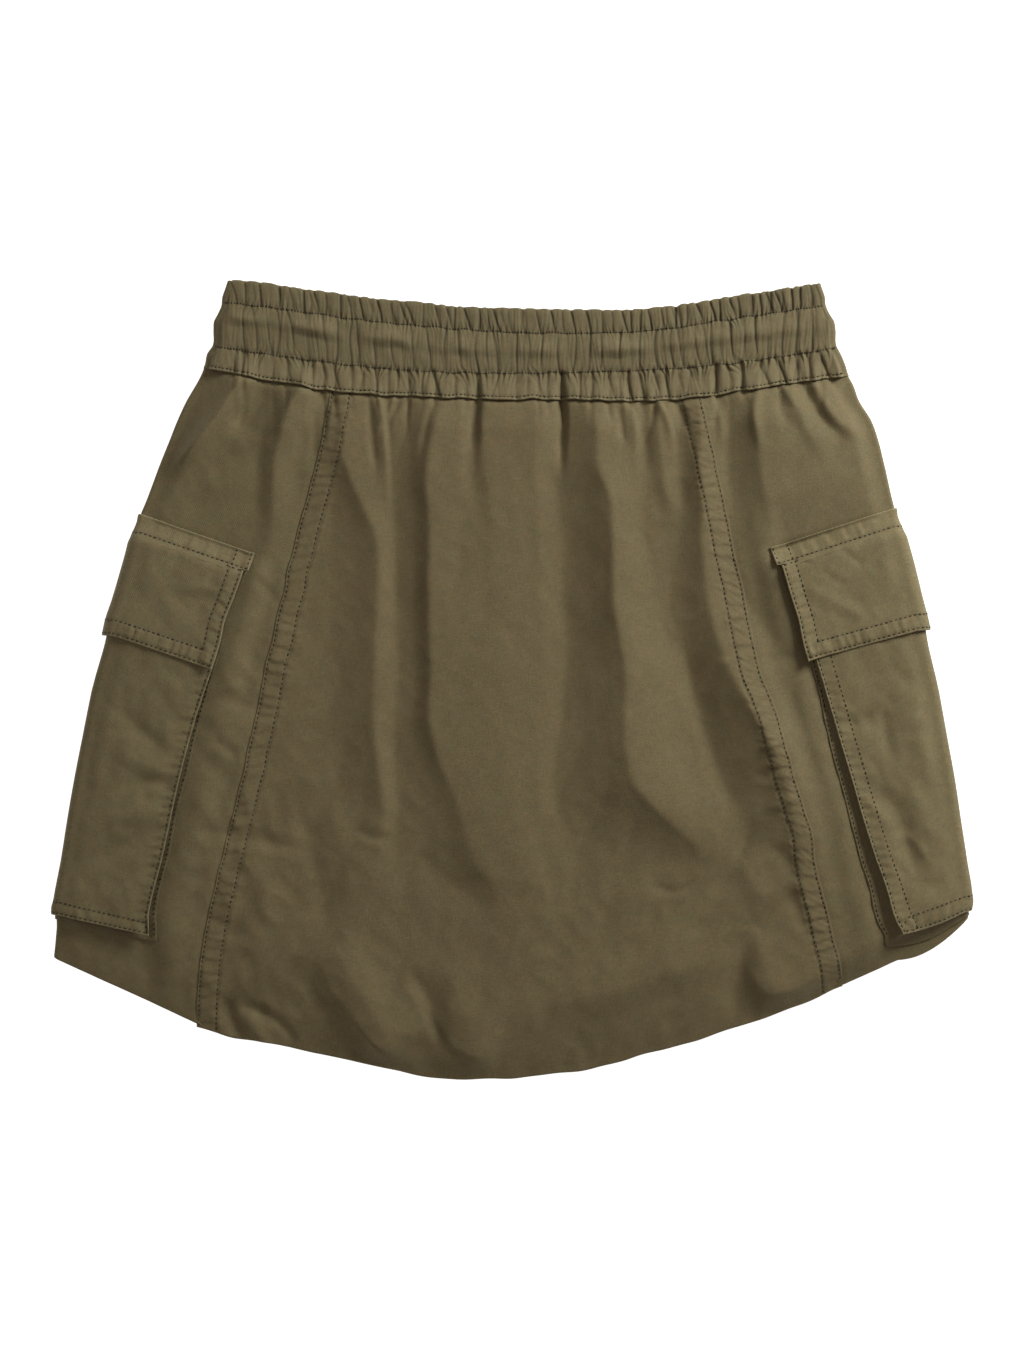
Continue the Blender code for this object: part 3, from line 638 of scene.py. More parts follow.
def shell(name, outer, inner, uv, wear_and_painted_light, step=3, ring=False, lowest=0.0):
    """One closed wall of cloth from a fine outer grid and an inner one that keeps every step-th point.

    uv is in millimetres on the flat cloth, the mask after it is lighter at worn rims with some painted
    highlight and below 0 is painted shade in creases and stitched rows, and the outer face stays above
    lowest.
    """
    outer, uv, wear_and_painted_light = (np.array(v) for v in (outer, uv, wear_and_painted_light))
    inner = np.array(inner)[::step, ::step]
    outer[..., 2] = np.maximum(outer[..., 2], lowest)
    first = wear_and_painted_light.size
    number = np.arange(first).reshape(wear_and_painted_light.shape)
    small = np.arange(inner[..., 0].size).reshape(inner.shape[:2]) + first
    faces = grid_faces(number, ring, False) + grid_faces(small, ring, True)
    for end in (0, -1):
        faces += border_faces(number[end], small[end], step, ring)
    if not ring:
        for end in (0, -1):
            faces += border_faces(number[:, end], small[:, end], step, False)
    mesh = bpy.data.meshes.new(name)
    mesh.from_pydata((np.concatenate([outer.reshape(-1, 3), inner.reshape(-1, 3)]) * MM).tolist(), [], faces)
    flat = np.concatenate([uv.reshape(-1, 2), uv[::step, ::step].reshape(-1, 2)]) * MM
    worn_and_painted_light = np.concatenate([wear_and_painted_light.ravel(), wear_and_painted_light[::step, ::step].ravel()])
    mesh.attributes.new("wear_and_painted_light", "FLOAT", "POINT").data.foreach_set("value", worn_and_painted_light.astype(np.float32))
    shape = bmesh.new()
    shape.from_mesh(mesh)
    bmesh.ops.recalc_face_normals(shape, faces=shape.faces)
    shape.to_mesh(mesh)
    shape.free()
    corners = np.zeros(len(mesh.loops), np.int32)
    mesh.loops.foreach_get("vertex_index", corners)
    mesh.uv_layers.new(name="cloth").data.foreach_set("uv", flat[corners].astype(np.float32).ravel())
    mesh.polygons.foreach_set("use_smooth", np.ones(len(mesh.polygons), bool))
    return placed(name, mesh)


def hem_y(x):
    """The y of the front panel's hem."""
    return line_y(HEM, x) + 0.2 * ripple(x, 0.0, 24.0, 31)


def front_level(x, y):
    """The middle of the front's cloth over the surface, falling under the waistband at the top."""
    level = between(FRONT_IN_BAND, REST + LOFT + front_height(x, y), out_of_band(below_band(x, y)))
    return np.maximum(level, 2.1)


def back_level(x, y):
    """The middle of the back's cloth: on the surface, a little slack, and rising inside the waistband."""
    drop = below_band(x, y)
    slack = 0.3 + 0.3 * ripple(x, y, 60.0, 41) + 0.12 * ripple(x, y, 24.0, 42)
    slack = slack + 0.3 * (1 + gathers(x, drop, SKIRT_GATHERS, 43, 1.5, -0.3)[0]) * fading(drop, 16.0)
    return between(BACK_IN_BAND, REST + 0.1 + np.maximum(slack, 0.0), back_out_of_band(drop))


def centre_level(front, x, y, from_left, from_right, above_hem):
    """The middle of the front or back panel, with its felled seams at these distances from its borders."""
    seams = felled(from_left, y, SEAM_SEED["left"]) + felled(from_right, y, SEAM_SEED["right"])
    if front:
        return front_level(x, y) + seams - 0.9 * (1 - ramp(-2.0, 15.0, above_hem)) ** 2
    return back_level(x, y) - 0.5 * seams


def hem_steps():
    """The hem in section: how far down and how high from its turn's centre, and the way back in."""
    turn = [(math.sin(a), math.cos(a), 0.0) for a in np.linspace(0.0, math.pi, 9)]
    return turn[1:] + [(0.0, -1.0, back) for back in (0.6, 2.5, 5.0, 7.5, HEM_RETURN)]


def build_centre(front):
    """The front or back panel between its felled seams, tucked under the waistband, with a turned-in hem."""
    up = 1.0 if front else -1.0
    outside = HEM_TURN + CLOTH / 2
    strip = np.array(STRIP_POINTS)
    share = np.linspace(0.0, 1.0, 168 if front else 123)[1:-1]
    length = 366.0
    down = np.arange(0.0, length, 1.05)
    if not front:
        down = np.append(np.arange(0.0, 30.0, 2.0), np.arange(30.0, length, 3.0))
    steps = hem_steps()
    down = filled_up(np.append(down[:-1], length) / length, 20, len(steps))
    outer, inner, flat, wear_and_painted_light = [], [], [], []
    for s in down:
        y = 150.0 * (1 - s) - 200.0 * s + np.zeros(2 * len(strip) + len(share))
        for _ in range(6):  # x and y follow from each other, as the seams and the hem slope
            left = seam_x("left", y[0]) + SEAM_GAP
            right = seam_x("right", y[-1]) - SEAM_GAP
            middle = left + strip[-1] + (right - left - 2 * strip[-1]) * share
            x = np.concatenate([left + strip, middle, (right - strip)[::-1]])
            hem = hem_y(x) + (outside if front else outside + 1.5)
            y = (1 - s) * (line_y(BAND_LINES["bottom"], x) + TUCK) + s * hem
        border = np.minimum(x - left, right - x)
        level = centre_level(front, x, y, x - left, right - x, y - hem)
        outer.append(together(x, y, level + up * (CLOTH / 2 - rim(border, 0.32))))
        inner.append(together(x, y, level - up * (CLOTH / 2 - rim(border, 0.42))))
        flat.append(together(x, y))
        # Lighter rims, partly worn and partly painted highlight; the stitched rows along the seams are
        # darkened as painted shade.
        rows = bump(border, 1.4, 0.8) + bump(border, STRIP - 0.9, 0.8)
        wear_and_painted_light.append(0.1 * bump(border, 0.0, 0.7) - 0.3 * rows)
    middle = level - up * HEM_TURN
    for past, height, back in steps:
        for grid, radius in ((outer, outside - rim(border, 0.42)), (inner, HEM_TURN - CLOTH / 2)):
            wide = outside if grid is outer else radius
            grid.append(together(x, y - wide * past + back, middle + up * height * radius))
        flat.append(together(x, y - 2.0 * (1 - height) - back))
        wear_and_painted_light.append(0.75 * past + 0.0 * x)
    inner = np.array(inner)
    inner[..., 2] = up * lower_of_neighbours(up * inner[..., 2])
    name = "cloth_front_panel" if front else "cloth_back_panel"
    return shell(name, outer, inner, flat, wear_and_painted_light, lowest=0.0 if front else LOWEST)


def side_table(side, down):
    """A side panel's row values at down, the row's height at the pocket's front edge."""
    table = np.array(SIDE_ROWS[side])[::-1]
    over = np.interp(down, table[:, 3], table[:, 0])
    edge_y, reach, seam_y, bow = (curve(table[:, 3], table[:, k], down) for k in (1, 2, 4, 5))
    beyond = np.minimum(down - table[0, 3], 0.0) + np.maximum(down - table[-1, 3], 0.0)
    return over, edge_y + beyond, reach, seam_y + beyond, bow


def fold_reach(over):
    """How far in from the skirt's edge its fold ends, with this many layers of pocket on it."""
    return LOFT / 2 + CLOTH / 2 + LAYER * over


def seam_reach(side, seam_y):
    """How far the felled seam is from the skirt's edge, at its own height."""
    return inward(side) * (seam_x(side, seam_y) - edge_x(side, seam_y))


def side_point(side, across, down, lift=0.0):
    """A point of the side panel moved out by lift, and the way its cloth faces.

    across is the distance from the skirt's edge, above 0 on the front and below 0 on the back.
    """
    across, down, lift = arrays(across, down, lift)
    along = inward(side)
    over, edge_y, reach, seam_y, bow = side_table(side, down)
    centre = fold_reach(over)
    seam = seam_reach(side, seam_y)
    turn = np.clip(across / centre, -1.0, 1.0) * math.pi / 2
    a = np.where(np.abs(across) < centre, centre - LOFT / 2 * np.cos(turn), np.abs(across))
    f = np.clip(a / reach, 0.0, 1.0)
    y = between(edge_y, down, f) + (seam_y - down) * np.maximum(a - reach, 0.0) / (seam - reach)
    y = y - 4 * bow * f * (1 - f)
    x = edge_x(side, y) + along * a
    stack = LAYER * over * (1 - ramp(reach + STACK_OUT, seam - 6.0, a))
    covered = np.clip(over, 0.0, 1.0) * (1 - ramp(reach - 4.0, seam - 12.0, a))
    folds = front_height(x, y) * (1 - 0.8 * covered) + 0.7 * crumple(x, y) * covered
    slack = 0.35 * (1 + ripple(x, y, 50.0, 44)) * (1 - covered)
    drop = below_band(x, y)
    front = between(FRONT_IN_BAND, REST + LOFT + stack + folds * ramp(centre, 15.0, a), out_of_band(drop))
    back = between(BACK_IN_BAND, REST + stack + slack * ramp(centre, 30.0, a), back_out_of_band(drop))
    z = (front + back) / 2 + (front - back) / 2 * np.sin(turn)
    facing = together(-along * np.cos(turn), 0.0, np.sin(turn))
    return together(x, y, z) + facing * lift[..., None], facing


def build_side(side):
    """A side panel, from under the front seam round the skirt's edge to under the back seam, with its hem."""
    first, last = SIDE_ROWS[side][0][3], SIDE_ROWS[side][-1][3] + 1.6
    steps = hem_steps()
    down = np.concatenate([np.arange(first, 120.0, -1.5), np.arange(120.0, last + 6, -2.0), [last + 3, last]])
    down = filled_up(down, 12, len(steps))
    fraction = np.linspace(0.0, 1.0, 62)[1:]
    outer, inner, flat, wear_and_painted_light = [], [], [], []
    for k, (past, height, back) in enumerate([(0.0, 1.0, 0.0)] * len(down) + steps):
        here = down[min(k, len(down) - 1)]
        over, _, _, seam_y, _ = side_table(side, here)
        centre = fold_reach(over)
        wide = seam_reach(side, seam_y) + 3.2
        front = between(centre, wide, fraction)
        across = np.concatenate([-front[::-1], centre * np.linspace(-1.0, 1.0, 13), front])
        border = wide - np.abs(across)
        y = side_point(side, across, here)[0][:, 1]
        bars = seam_bars(3.2 - border, y, SEAM_SEED[side])
        puckers = 0.5 * ramp(3.2, 4.4, border) * (1 - ramp(5.5, 13.0, border)) * bars
        point, facing = side_point(side, across, here, puckers - 0.32 * (1 - ramp(2.6, 5.4, border)))
        for grid, half in ((outer, 1.0), (inner, -1.0)):
            if k < len(down):
                grid.append(point + facing * (half * (CLOTH / 2 - rim(border, 0.4)))[:, None])
            else:
                radius = HEM_TURN + half * CLOTH / 2
                grid.append(point + facing * (height * radius - HEM_TURN) + (0.0, back - radius * past, 0.0))
        flat.append(together(across, here - back - 2.0 * (1 - height)))
        wear_and_painted_light.append(0.75 * past + 0.0 * across)
    return shell(f"cloth_side_panel_{side}", outer, inner, flat, wear_and_painted_light, lowest=LOWEST)


# Creases on the pockets, drawn on the flat pocket: height, left and right flank, then (across, down) along it
POCKET_CREASES = {
    "left": (
        (-1, 9, 8, ((14, -26), (32, -36), (54, -45))),
        (0.7, 8, 8, ((18, -46), (36, -51), (56, -52))),
        (-0.9, 6, 6, ((24, -69), (38, -61), (50, -58), (62, -64))),
        (0.8, 8, 8, ((20, -88), (38, -76), (58, -70))),
        (-1.3, 9, 9, ((8, -116), (28, -99), (42, -88), (60, -76))),
        (0.5, 12, 12, ((12, -132), (30, -122), (46, -112))),
        (0.6, 9, 9, ((8, -20), (10, -50), (14, -82))),
    ),
    "right": (
        (-0.9, 8, 8, ((58, -24), (44, -26), (32, -20))),
        (-1.1, 6, 6, ((33, -16), (34, -34), (33, -56))),
        (0.9, 10, 10, ((18, -10), (16, -40), (14, -70))),
        (-1.5, 8, 8, ((54, -54), (39, -68), (33, -84), (31, -104), (25, -118))),
        (0.8, 9, 9, ((30, -58), (22, -78), (18, -108))),
        (0.8, 10, 9, ((50, -70), (44, -90), (40, -118))),
        (0.5, 8, 8, ((30, -122), (22, -128), (12, -132))),
        (0.6, 3.5, 5, ((56, -60), (46, -72), (38, -86))),
        (-0.5, 3, 4, ((48, -40), (42, -52), (40, -62))),
        (0.5, 3, 4, ((36, -84), (26, -96), (20, -110))),
        (-0.4, 3, 3, ((46, -94), (38, -104), (34, -116))),
        (0.4, 3, 3, ((58, -12), (50, -20), (44, -30))),
    ),
}
FLAP_CREASES = {
    "left": (
        (0.55, 6, 6, ((64, 54), (50, 45), (32, 38))),
        (-0.55, 6, 6, ((60, 45), (46, 37), (26, 33))),
        (0.4, 8, 8, ((50, 20), (36, 27), (20, 34))),
        (-0.3, 3, 3, ((62, 50), (54, 47), (46, 47))),
        (0.3, 3, 3, ((30, 54), (26, 48), (24, 41))),
    ),
    "right": (
        (0.65, 6, 6, ((66, 52), (46, 35), (28, 21))),
        (-0.5, 4, 4, ((40, 66), (33, 56), (25, 47))),
        (-0.45, 4.5, 4.5, ((54, 58), (45, 47), (36, 40))),
        (0.4, 6, 6, ((20, 58), (16, 44), (18, 28))),
        (0.45, 1.6, 1.6, ((30, 73), (29, 68), (28, 63))),
        (0.4, 1.6, 1.6, ((25, 73), (24, 68), (23, 63))),
    ),
}
POCKET_LIFT = {"left": (0.3, 1.8), "right": (1.0, 4.2)}  # of the front edge, at the mouth and the bottom
FLAP_OVERHANG = {"left": 0.3, "right": 4.8}  # how far the flap reaches past the pocket's front edge


def pocket_lift(side, across, down):
    """How far the pocket's patch stands off the side panel, most at its front edge and its bottom corner."""
    across, down = arrays(across, down)
    reach = side_table(side, down)[2]
    from_bottom = down - POCKET_BOTTOM[side]
    depth = (MOUTH[side] - down) / (MOUTH[side] - POCKET_BOTTOM[side])
    at_edge = between(*POCKET_LIFT[side], ramp(0.15, 1.0, depth))
    near_edge = fading(reach - across, 17.0) * ramp(0.0, 20.0, across)
    belly = 1.1 * ramp(4.0, 26.0, across) * ramp(0.0, 40.0, from_bottom) * ramp(0.0, 16.0, reach - across)
    hem = 1.2 * fading(from_bottom, 10.0) * ramp(0.0, 12.0, across)
    folds = 1.25 * creases(across, down, POCKET_CREASES[side]) + 0.2 * ripple(across, down, 36.0, 51)
    folds = folds + 0.05 * ripple(across, down, 9.0, 52) + 0.3 * np.abs(ripple(across, 0.8 * down, 20.0, 55))
    folds = folds * ramp(2.0, 14.0, np.abs(across)) * np.where(across > 0, 1.0, 0.25)
    return 2 * LAYER + at_edge * near_edge + belly + hem + folds


def pocket_seams(side, across, down):
    """The pocket's doubled border: a low step at its stitched rows, with small puckers."""
    q = side_table(side, down)[2] - np.abs(across)
    r = down - POCKET_BOTTOM[side]
    pucker = tucks(down + 0.3 * q, 5.2, 53) * bump(q, 3.5, 3.5)
    ladder = tucks(across, 5.6, 54) * bump(r, 4.0, 3.0)
    rows = bump(q, 1.4, 0.7) + bump(r, 1.4, 0.7) + bump(r, 7.0, 0.8)
    wide = 3.0
    if side == "right":
        wide = 8.4
        rows = rows + bump(q, wide, 0.8)
    doubled = np.maximum(1 - ramp(wide, wide + 1.2, q), 1 - ramp(7.2, 8.4, r))
    return 0.22 * doubled + 1.1 * pucker + 0.9 * ladder - 0.24 * rows


def over_surface(side, across, down, lift, wall):
    """The lift, kept small enough on the back that a layer with this half wall stays over the surface."""
    room = REST + LAYER * side_table(side, down)[0] - wall - LOWEST
    return lift + np.minimum(room - lift, 0.0) * ramp(0.0, 3.0, -across)


def pocket_point(side, across, down):
    """A point of the patch pocket's middle surface, and the way it faces."""
    lift = pocket_lift(side, across, down) + pocket_seams(side, across, down)
    return side_point(side, across, down, over_surface(side, across, down, lift, POCKET_HALF))


def build_wrapped(name, side, down, fine, step, arc, half, round_off, top, reach_at, point_at, rows_at):
    """A patch laid over the side panel and wrapped round the skirt's edge, in rows from its top down.

    fine are the distances from its borders that have points, step their share of a row elsewhere, arc the
    points round the fold, and half its half wall, which is rounded off at its borders.
    """
    fraction = stations(0.0, 1.0, step)
    fine = np.array((0.0, *fine))
    outer, inner, flat, wear_and_painted_light = [], [], [], []
    for r in down:
        reach = reach_at(side, r)
        centre = fold_reach(side_table(side, r)[0])
        front = np.append(between(centre, reach - fine[-1], fraction[1:]), (reach - fine[:-1])[::-1])
        across = np.concatenate([-front[::-1], centre * np.linspace(-1.0, 1.0, arc), front])
        point, facing = point_at(side, across, r)
        border = np.minimum(reach - np.abs(across), min(r - down[-1], top - r))
        wall = facing * (half - rim(border, round_off))[:, None]
        outer.append(point + wall)
        inner.append(point - wall)
        flat.append(together(across, r))
        # Lighter rims, partly worn and partly painted highlight; the stitched rows are darkened as painted
        # shade.
        wear_and_painted_light.append(0.9 * bump(border, 0.0, 0.55) - 0.35 * rows_at(side, across, r))
    middle = len(across) // 2 - 1
    extra = slice(middle, middle + (len(across) - 1) % 3)
    outer, inner, flat, wear_and_painted_light = (np.delete(v, extra, axis=1) for v in (outer, inner, flat, wear_and_painted_light))
    return shell(f"cloth_{name}_{side}", outer, inner, flat, wear_and_painted_light)


def pocket_reach(side, down):
    """How far the pocket's front edge is from the skirt's edge."""
    return side_table(side, down)[2]


def pocket_rows(side, across, down):
    """Where the pocket's rows of stitches darken it as painted shade, from 0 to 1."""
    r = down - POCKET_BOTTOM[side]
    return bump(pocket_reach(side, down) - np.abs(across), 1.4, 0.7) + bump(r, 7.0, 0.7) + bump(r, 1.4, 0.7)


def build_pocket(side):
    """The pocket's patch, from its mouth under the flap to its bottom edge."""
    fine = (0.12, 0.4, 0.75, 1.3, 2.0, 3.0)
    down = padded(stations(POCKET_BOTTOM[side], MOUTH[side], 1.2, fine)[::-1])
    return build_wrapped("pocket", side, down, fine, 0.034, 14, POCKET_HALF, 0.6, math.inf,
                         pocket_reach, pocket_point, pocket_rows)


# The gusset from its seam on the panel to its seam on the patch: how far out from the patch's edge, how high,
# and how far it has turned over, all as shares. Both are pleated in under the patch, and the right one stands
# more open.
GUSSET_SECTION = {
    "left": (
        (1, 0, 0), (0.93, 0.02, 0.02), (0.75, 0.06, 0.05), (0.4, 0.03, 0), (0, 0, 0), (-0.6, 0, 0),
        (-1.25, 0, 0), (-1.45, 0.25, 0.25), (-1.5, 0.5, 0.5), (-1.45, 0.75, 0.75), (-1.2, 0.97, 1),
        (-0.7, 1, 1), (-0.35, 1, 1), (-0.16, 1, 1),
    ),
    "right": (
        (1, 0, 0), (0.93, 0.02, 0.02), (0.75, 0.06, 0.05), (0.5, 0.12, 0.1), (0.25, 0.24, 0.15),
        (0, 0.4, 0.15), (-0.3, 0.5, 0.05), (-0.8, 0.52, 0), (-1.25, 0.52, 0), (-1.45, 0.62, 0.25),
        (-1.5, 0.76, 0.5), (-1.45, 0.9, 0.75), (-1.2, 0.98, 1), (-0.7, 1, 1), (-0.35, 1, 1), (-0.16, 1, 1),
    ),
}


def gusset_out(side, down):
    """How far outside the pocket's edge the gusset is sewn to the panel."""
    if side == "left":
        open_part = 1.4 * ramp(12.0, -15.0, down) + 0.9 * ramp(-60.0, -125.0, down)
        return 1.4 + open_part + 0.4 * ripple(down, 0.0 * down, 26.0, 62)
    open_part = 3.4 * ramp(15.0, -45.0, down) + 2.8 * ramp(-50.0, -125.0, down)
    return 2.4 + open_part + 0.2 * ripple(down, 0.0 * down, 22.0, 63)


def build_gusset(side):
    """The gusset: sewn to the panel outside the pocket, pleated in under it and out to the patch's edge."""
    bottom = POCKET_BOTTOM[side]
    corner = pocket_reach(side, bottom)
    side_down = np.linspace(MOUTH[side] + 2.0, bottom, 90)[:-1]
    edge = together(pocket_reach(side, side_down), side_down, 1.0, 0.0)
    quarter = np.linspace(0.0, math.pi / 2, 7)
    turn = together(corner, bottom, np.cos(quarter), np.sin(quarter))
    under = together(np.linspace(corner, -corner, 70)[1:-1], bottom, 0.0, 1.0)
    other = np.array([-1.0, 1.0, -1.0, 1.0])
    path = np.concatenate([edge, turn, under, (turn * other)[::-1], (edge * other)[::-1]])
    across, down, out_a, out_r = path.T
    sewn = gusset_out(side, down) * np.where(out_r > 0.7, 0.8, 1.0) * np.where(across < 0, 0.8, 1.0)
    high = pocket_lift(side, across, down) - 0.95
    grid, normal = [], []
    for out, height, turned in GUSSET_SECTION[side]:
        q = sewn * out if out > 0 else np.full(len(path), PLEAT[side] * out)
        uneven = 0.15 * ripple(across + out * 3, down, 9.0, 61) * (1 - height)
        lift = over_surface(side, across, down, between(0.85, high, height) + uneven, 0.4)
        point, facing = side_point(side, across + out_a * q, down - out_r * q, lift)
        beyond = side_point(side, across + out_a * (q + 1.0), down - out_r * (q + 1.0), lift)[0] - point
        beyond /= np.linalg.norm(beyond, axis=1, keepdims=True)
        grid.append(point)
        normal.append(facing * math.cos(math.pi * turned) + beyond * math.sin(math.pi * turned))
    grid, wall = np.array(grid), 0.28 * np.array(normal)
    flat = together(np.arange(len(path))[None] * 2.2, np.arange(len(grid))[:, None] * 1.6)
    wear_and_painted_light = np.zeros(grid.shape[:2])
    return shell(f"cloth_pocket_gusset_{side}", grid + wall, grid - wall, flat, wear_and_painted_light, step=1)


def flap_reach(side, down):
    """How far the flap's inner edge is from the skirt's edge; its sewn top band is wider, with a notch."""
    below_top = FLAP_TOP[side] - down
    band = ramp(-10.2, -9.6, -below_top)
    return pocket_reach(side, down) + FLAP_OVERHANG[side] + 2.6 * band - 0.25 * ramp(0.0, 10.0, below_top)


def flap_places(side, across, down):
    """How far a place is from the flap's inner edge, its bottom and its top."""
    return flap_reach(side, down) - np.abs(across), down - FLAP_BOTTOM[side], FLAP_TOP[side] - down


def flap_rows(side, across, down):
    """Where the flap's rows of stitches press it down and darken it as painted shade, from 0 to 1."""
    q, r, t = flap_places(side, across, down)
    rows = bump(t, 9.0, 0.8) + bump(r, 8.4, 0.8) * (q > 7.4)
    return rows + (bump(q, 8.2, 0.8) * (r > 7.6) + bump(q, 1.6, 0.7)) * (t > 10.5) + bump(r, 1.6, 0.7)


def flap_lift(side, across, down):
    """How far the flap stands off the side panel: sewn down at its top, over the pocket below it."""
    across, down = arrays(across, down)
    q, r, t = flap_places(side, across, down)
    rest = np.where(t < 4.0, 1.0, between(1.0, 3 * LAYER + 0.5, ramp(3.0, 15.0, t)))
    rest = rest * np.minimum(1.0, 0.4 + side_table(side, down)[0])
    corner = 1.3 * fading(q, 9.0) * fading(r, 16.0)
    folds = creases(across, down, FLAP_CREASES[side]) + 0.14 * ripple(across, down, 26.0, 71)
    folds = folds + 0.03 * ripple(across, down, 8.0, 72)
    pucker = (0.3 + tucks(down - 0.25 * q, 6.8, 73) + 0.4 * tucks(down, 3.7, 76)) * bump(q, 4.8, 3.4, 4)
    pucker = pucker * (0.45 if side == "left" else 0.8)
    ladder = (0.3 + tucks(across + 0.2 * t, 8.6, 74) + 0.4 * tucks(across, 3.9, 77)) * bump(t, 5.5, 3.4, 4)
    along = (0.3 + tucks(across - 0.2 * r, 6.3, 75) + 0.4 * tucks(across, 3.5, 78)) * bump(r, 5.0, 3.6, 4)
    doubled = np.maximum(1 - ramp(8.0, 9.2, q), np.maximum(1 - ramp(8.2, 9.4, r), 1 - ramp(8.6, 9.6, t)))
    sewn = 1.25 * pucker + 1.1 * (ladder + along) - 0.25 * flap_rows(side, across, down) + 0.1 * doubled
    detail = (folds + sewn) * ramp(2.0, 12.0, np.abs(across)) * np.where(across > 0, 1.0, 0.3)
    return rest + corner + 0.6 * fading(r, 6.0) + detail


def flap_point(side, across, down):
    """A point of the flap's middle surface, and the way it faces."""
    lift = over_surface(side, across, down, flap_lift(side, across, down), FLAP_HALF)
    return side_point(side, across, down, lift)


def build_flap(side):
    """The flap over the pocket's mouth, with a notch below its sewn band."""
    fine = (0.12, 0.4, 0.8, 1.4, 2.1, 3.0)
    top = FLAP_TOP[side]
    down = stations(top, FLAP_BOTTOM[side], 0.85, fine)
    notch = top - np.array([9.4, 9.62, 9.75, 9.9, 10.05, 10.18, 10.4])
    down = padded(np.sort(np.append(down[np.abs(down - (top - 9.9)) > 0.62], notch))[::-1])
    return build_wrapped("pocket_flap", side, down, fine, 0.019, 16, FLAP_HALF, 0.7, top,
                         flap_reach, flap_point, flap_rows)


def band_line(name, x):
    """The y of one of the waistband's lines at x."""
    waver = 0.0 if name == "top" else 0.26 * ripple(x, 0.0 * np.asarray(x, float), 13.0, 80 + len(name))
    return line_y(BAND_LINES[name], x) + waver


def band_height(x, y):
    """The waistband's front over its resting level: gathers, stitched rows and the elastic's ledge.

    Gives the height and, from 0 to 1, how deep in a crease a place is, by which the cloth is darkened as
    painted shade.
    """
    top, upper, ledge, lower, bottom = (band_line(n, x) for n in BAND_LINES)
    in_ruffle = ramp(-1.2, 0.8, y - upper)
    in_skirt = 1 - ramp(-0.8, 1.2, y - lower)
    in_casing = (1 - in_ruffle) * (1 - in_skirt)
    ruffle, ruffle_deep = gathers(x, (top + upper) / 2 - y, RUFFLE, 81, 0.36, 0.15, (-0.05, 0.4))
    casing, casing_deep = gathers(x, (upper + lower) / 2 - y, CASING, 82, 0.38, 0.1, (-0.06, 0.14))
    skirt, skirt_deep = gathers(x, lower - y - 4.0, SKIRT_GATHERS, 83, 0.8, 0.3, (-0.3, 0.35))
    gathered = 0.55 * in_ruffle * ruffle + 0.36 * in_casing * casing + 0.9 * in_skirt * skirt
    deep = 1.2 * in_ruffle * ruffle_deep + 0.9 * in_casing * casing_deep + 0.5 * in_skirt * skirt_deep

    def slanted(row, lean, size, seed):
        """x along tucks that lean this way and that away from a row."""
        return x + lean * (y - row) * ripple(x, 0.0 * x, size, seed)

    fan = 0.75 * fading(np.abs(y - upper), 3.0) * tucks(slanted(upper, 0.3, 16.0, 84), 2.7, 85)
    fan_down = fading(np.abs(y - lower), 3.4) * tucks(slanted(lower, 0.4, 13.0, 86), 3.4, 87)
    fan = fan + np.where(y < lower, 1.7, 0.6) * fan_down
    fan = fan + 0.4 * fading(np.abs(y - bottom - 1.5), 1.8) * tucks(x, 4.3, 88)
    streaks = 0.16 * (1 - in_skirt) * tucks(slanted(ledge, 0.12, 20.0, 95), 2.3, 96)
    rows = 0.4 * bump(y, upper, 0.8) + 0.4 * bump(y, lower, 0.8)
    rows = rows + 0.8 * bump(y, bottom + 1.8, 0.5) - 0.5 * bump(y, bottom + 0.7, 0.5)
    belly = 0.35 * ramp(0.0, 4.0, y - upper) * ramp(0.0, 3.0, top - y)
    belly = belly + 0.3 * in_skirt * ramp(0.0, 3.0, lower - y)
    shelf = 1.7 * ramp(0.0, 9.0, upper - y) * ramp(-5.2, 0.4, y - ledge)
    shelf = shelf * (0.68 + 0.42 * ripple(x, 0.0, 34.0, 89))
    flat = 0.3 * ramp(0.0, 3.0, upper - y) * ramp(0.0, 3.0, y - lower)
    small = 0.06 * ripple(x, 0.35 * y, 4.2, 97) + 0.08 * ripple(x, y, 12.0, 98)
    strong = between(1.0, 1.5, ramp(30.0, 110.0, x))
    height = strong * (gathered + fan + streaks) - 0.35 * rows + belly + shelf + flat + small
    return height, np.clip(strong * deep, 0.0, 1.0)


def carried(x, y):
    """How far the skirt lifts the waistband, which rises towards the folds that its lower edge is sewn on."""
    bottom = band_line("bottom", x)
    lifted = np.maximum(front_level(x, bottom) - FRONT_IN_BAND, 0.0)
    even = BAND_RISE * np.clip(1 - (y - bottom) / BAND_DEEP, 0.0, 1.0)
    return even + (lifted - BAND_RISE) * ramp(-13.0, 0.0, bottom - y)


def band_end(side, s):
    """The x of the middle of the waistband's wall where it turns to the back, a share s of the way down."""
    y = between(*BAND_ENDS[side], s)
    return edge_x(side, y) + inward(side) * (BAND_RADIUS + BAND_WALL / 2)


def band_top_y(x):
    """The waistband's top edge, with a small nick at each gather."""
    top, upper = band_line("top", x), band_line("upper_row", x)
    return top + 0.65 * gathers(x, (upper - top) / 2, RUFFLE, 81, 0.45, 0.3)[0]


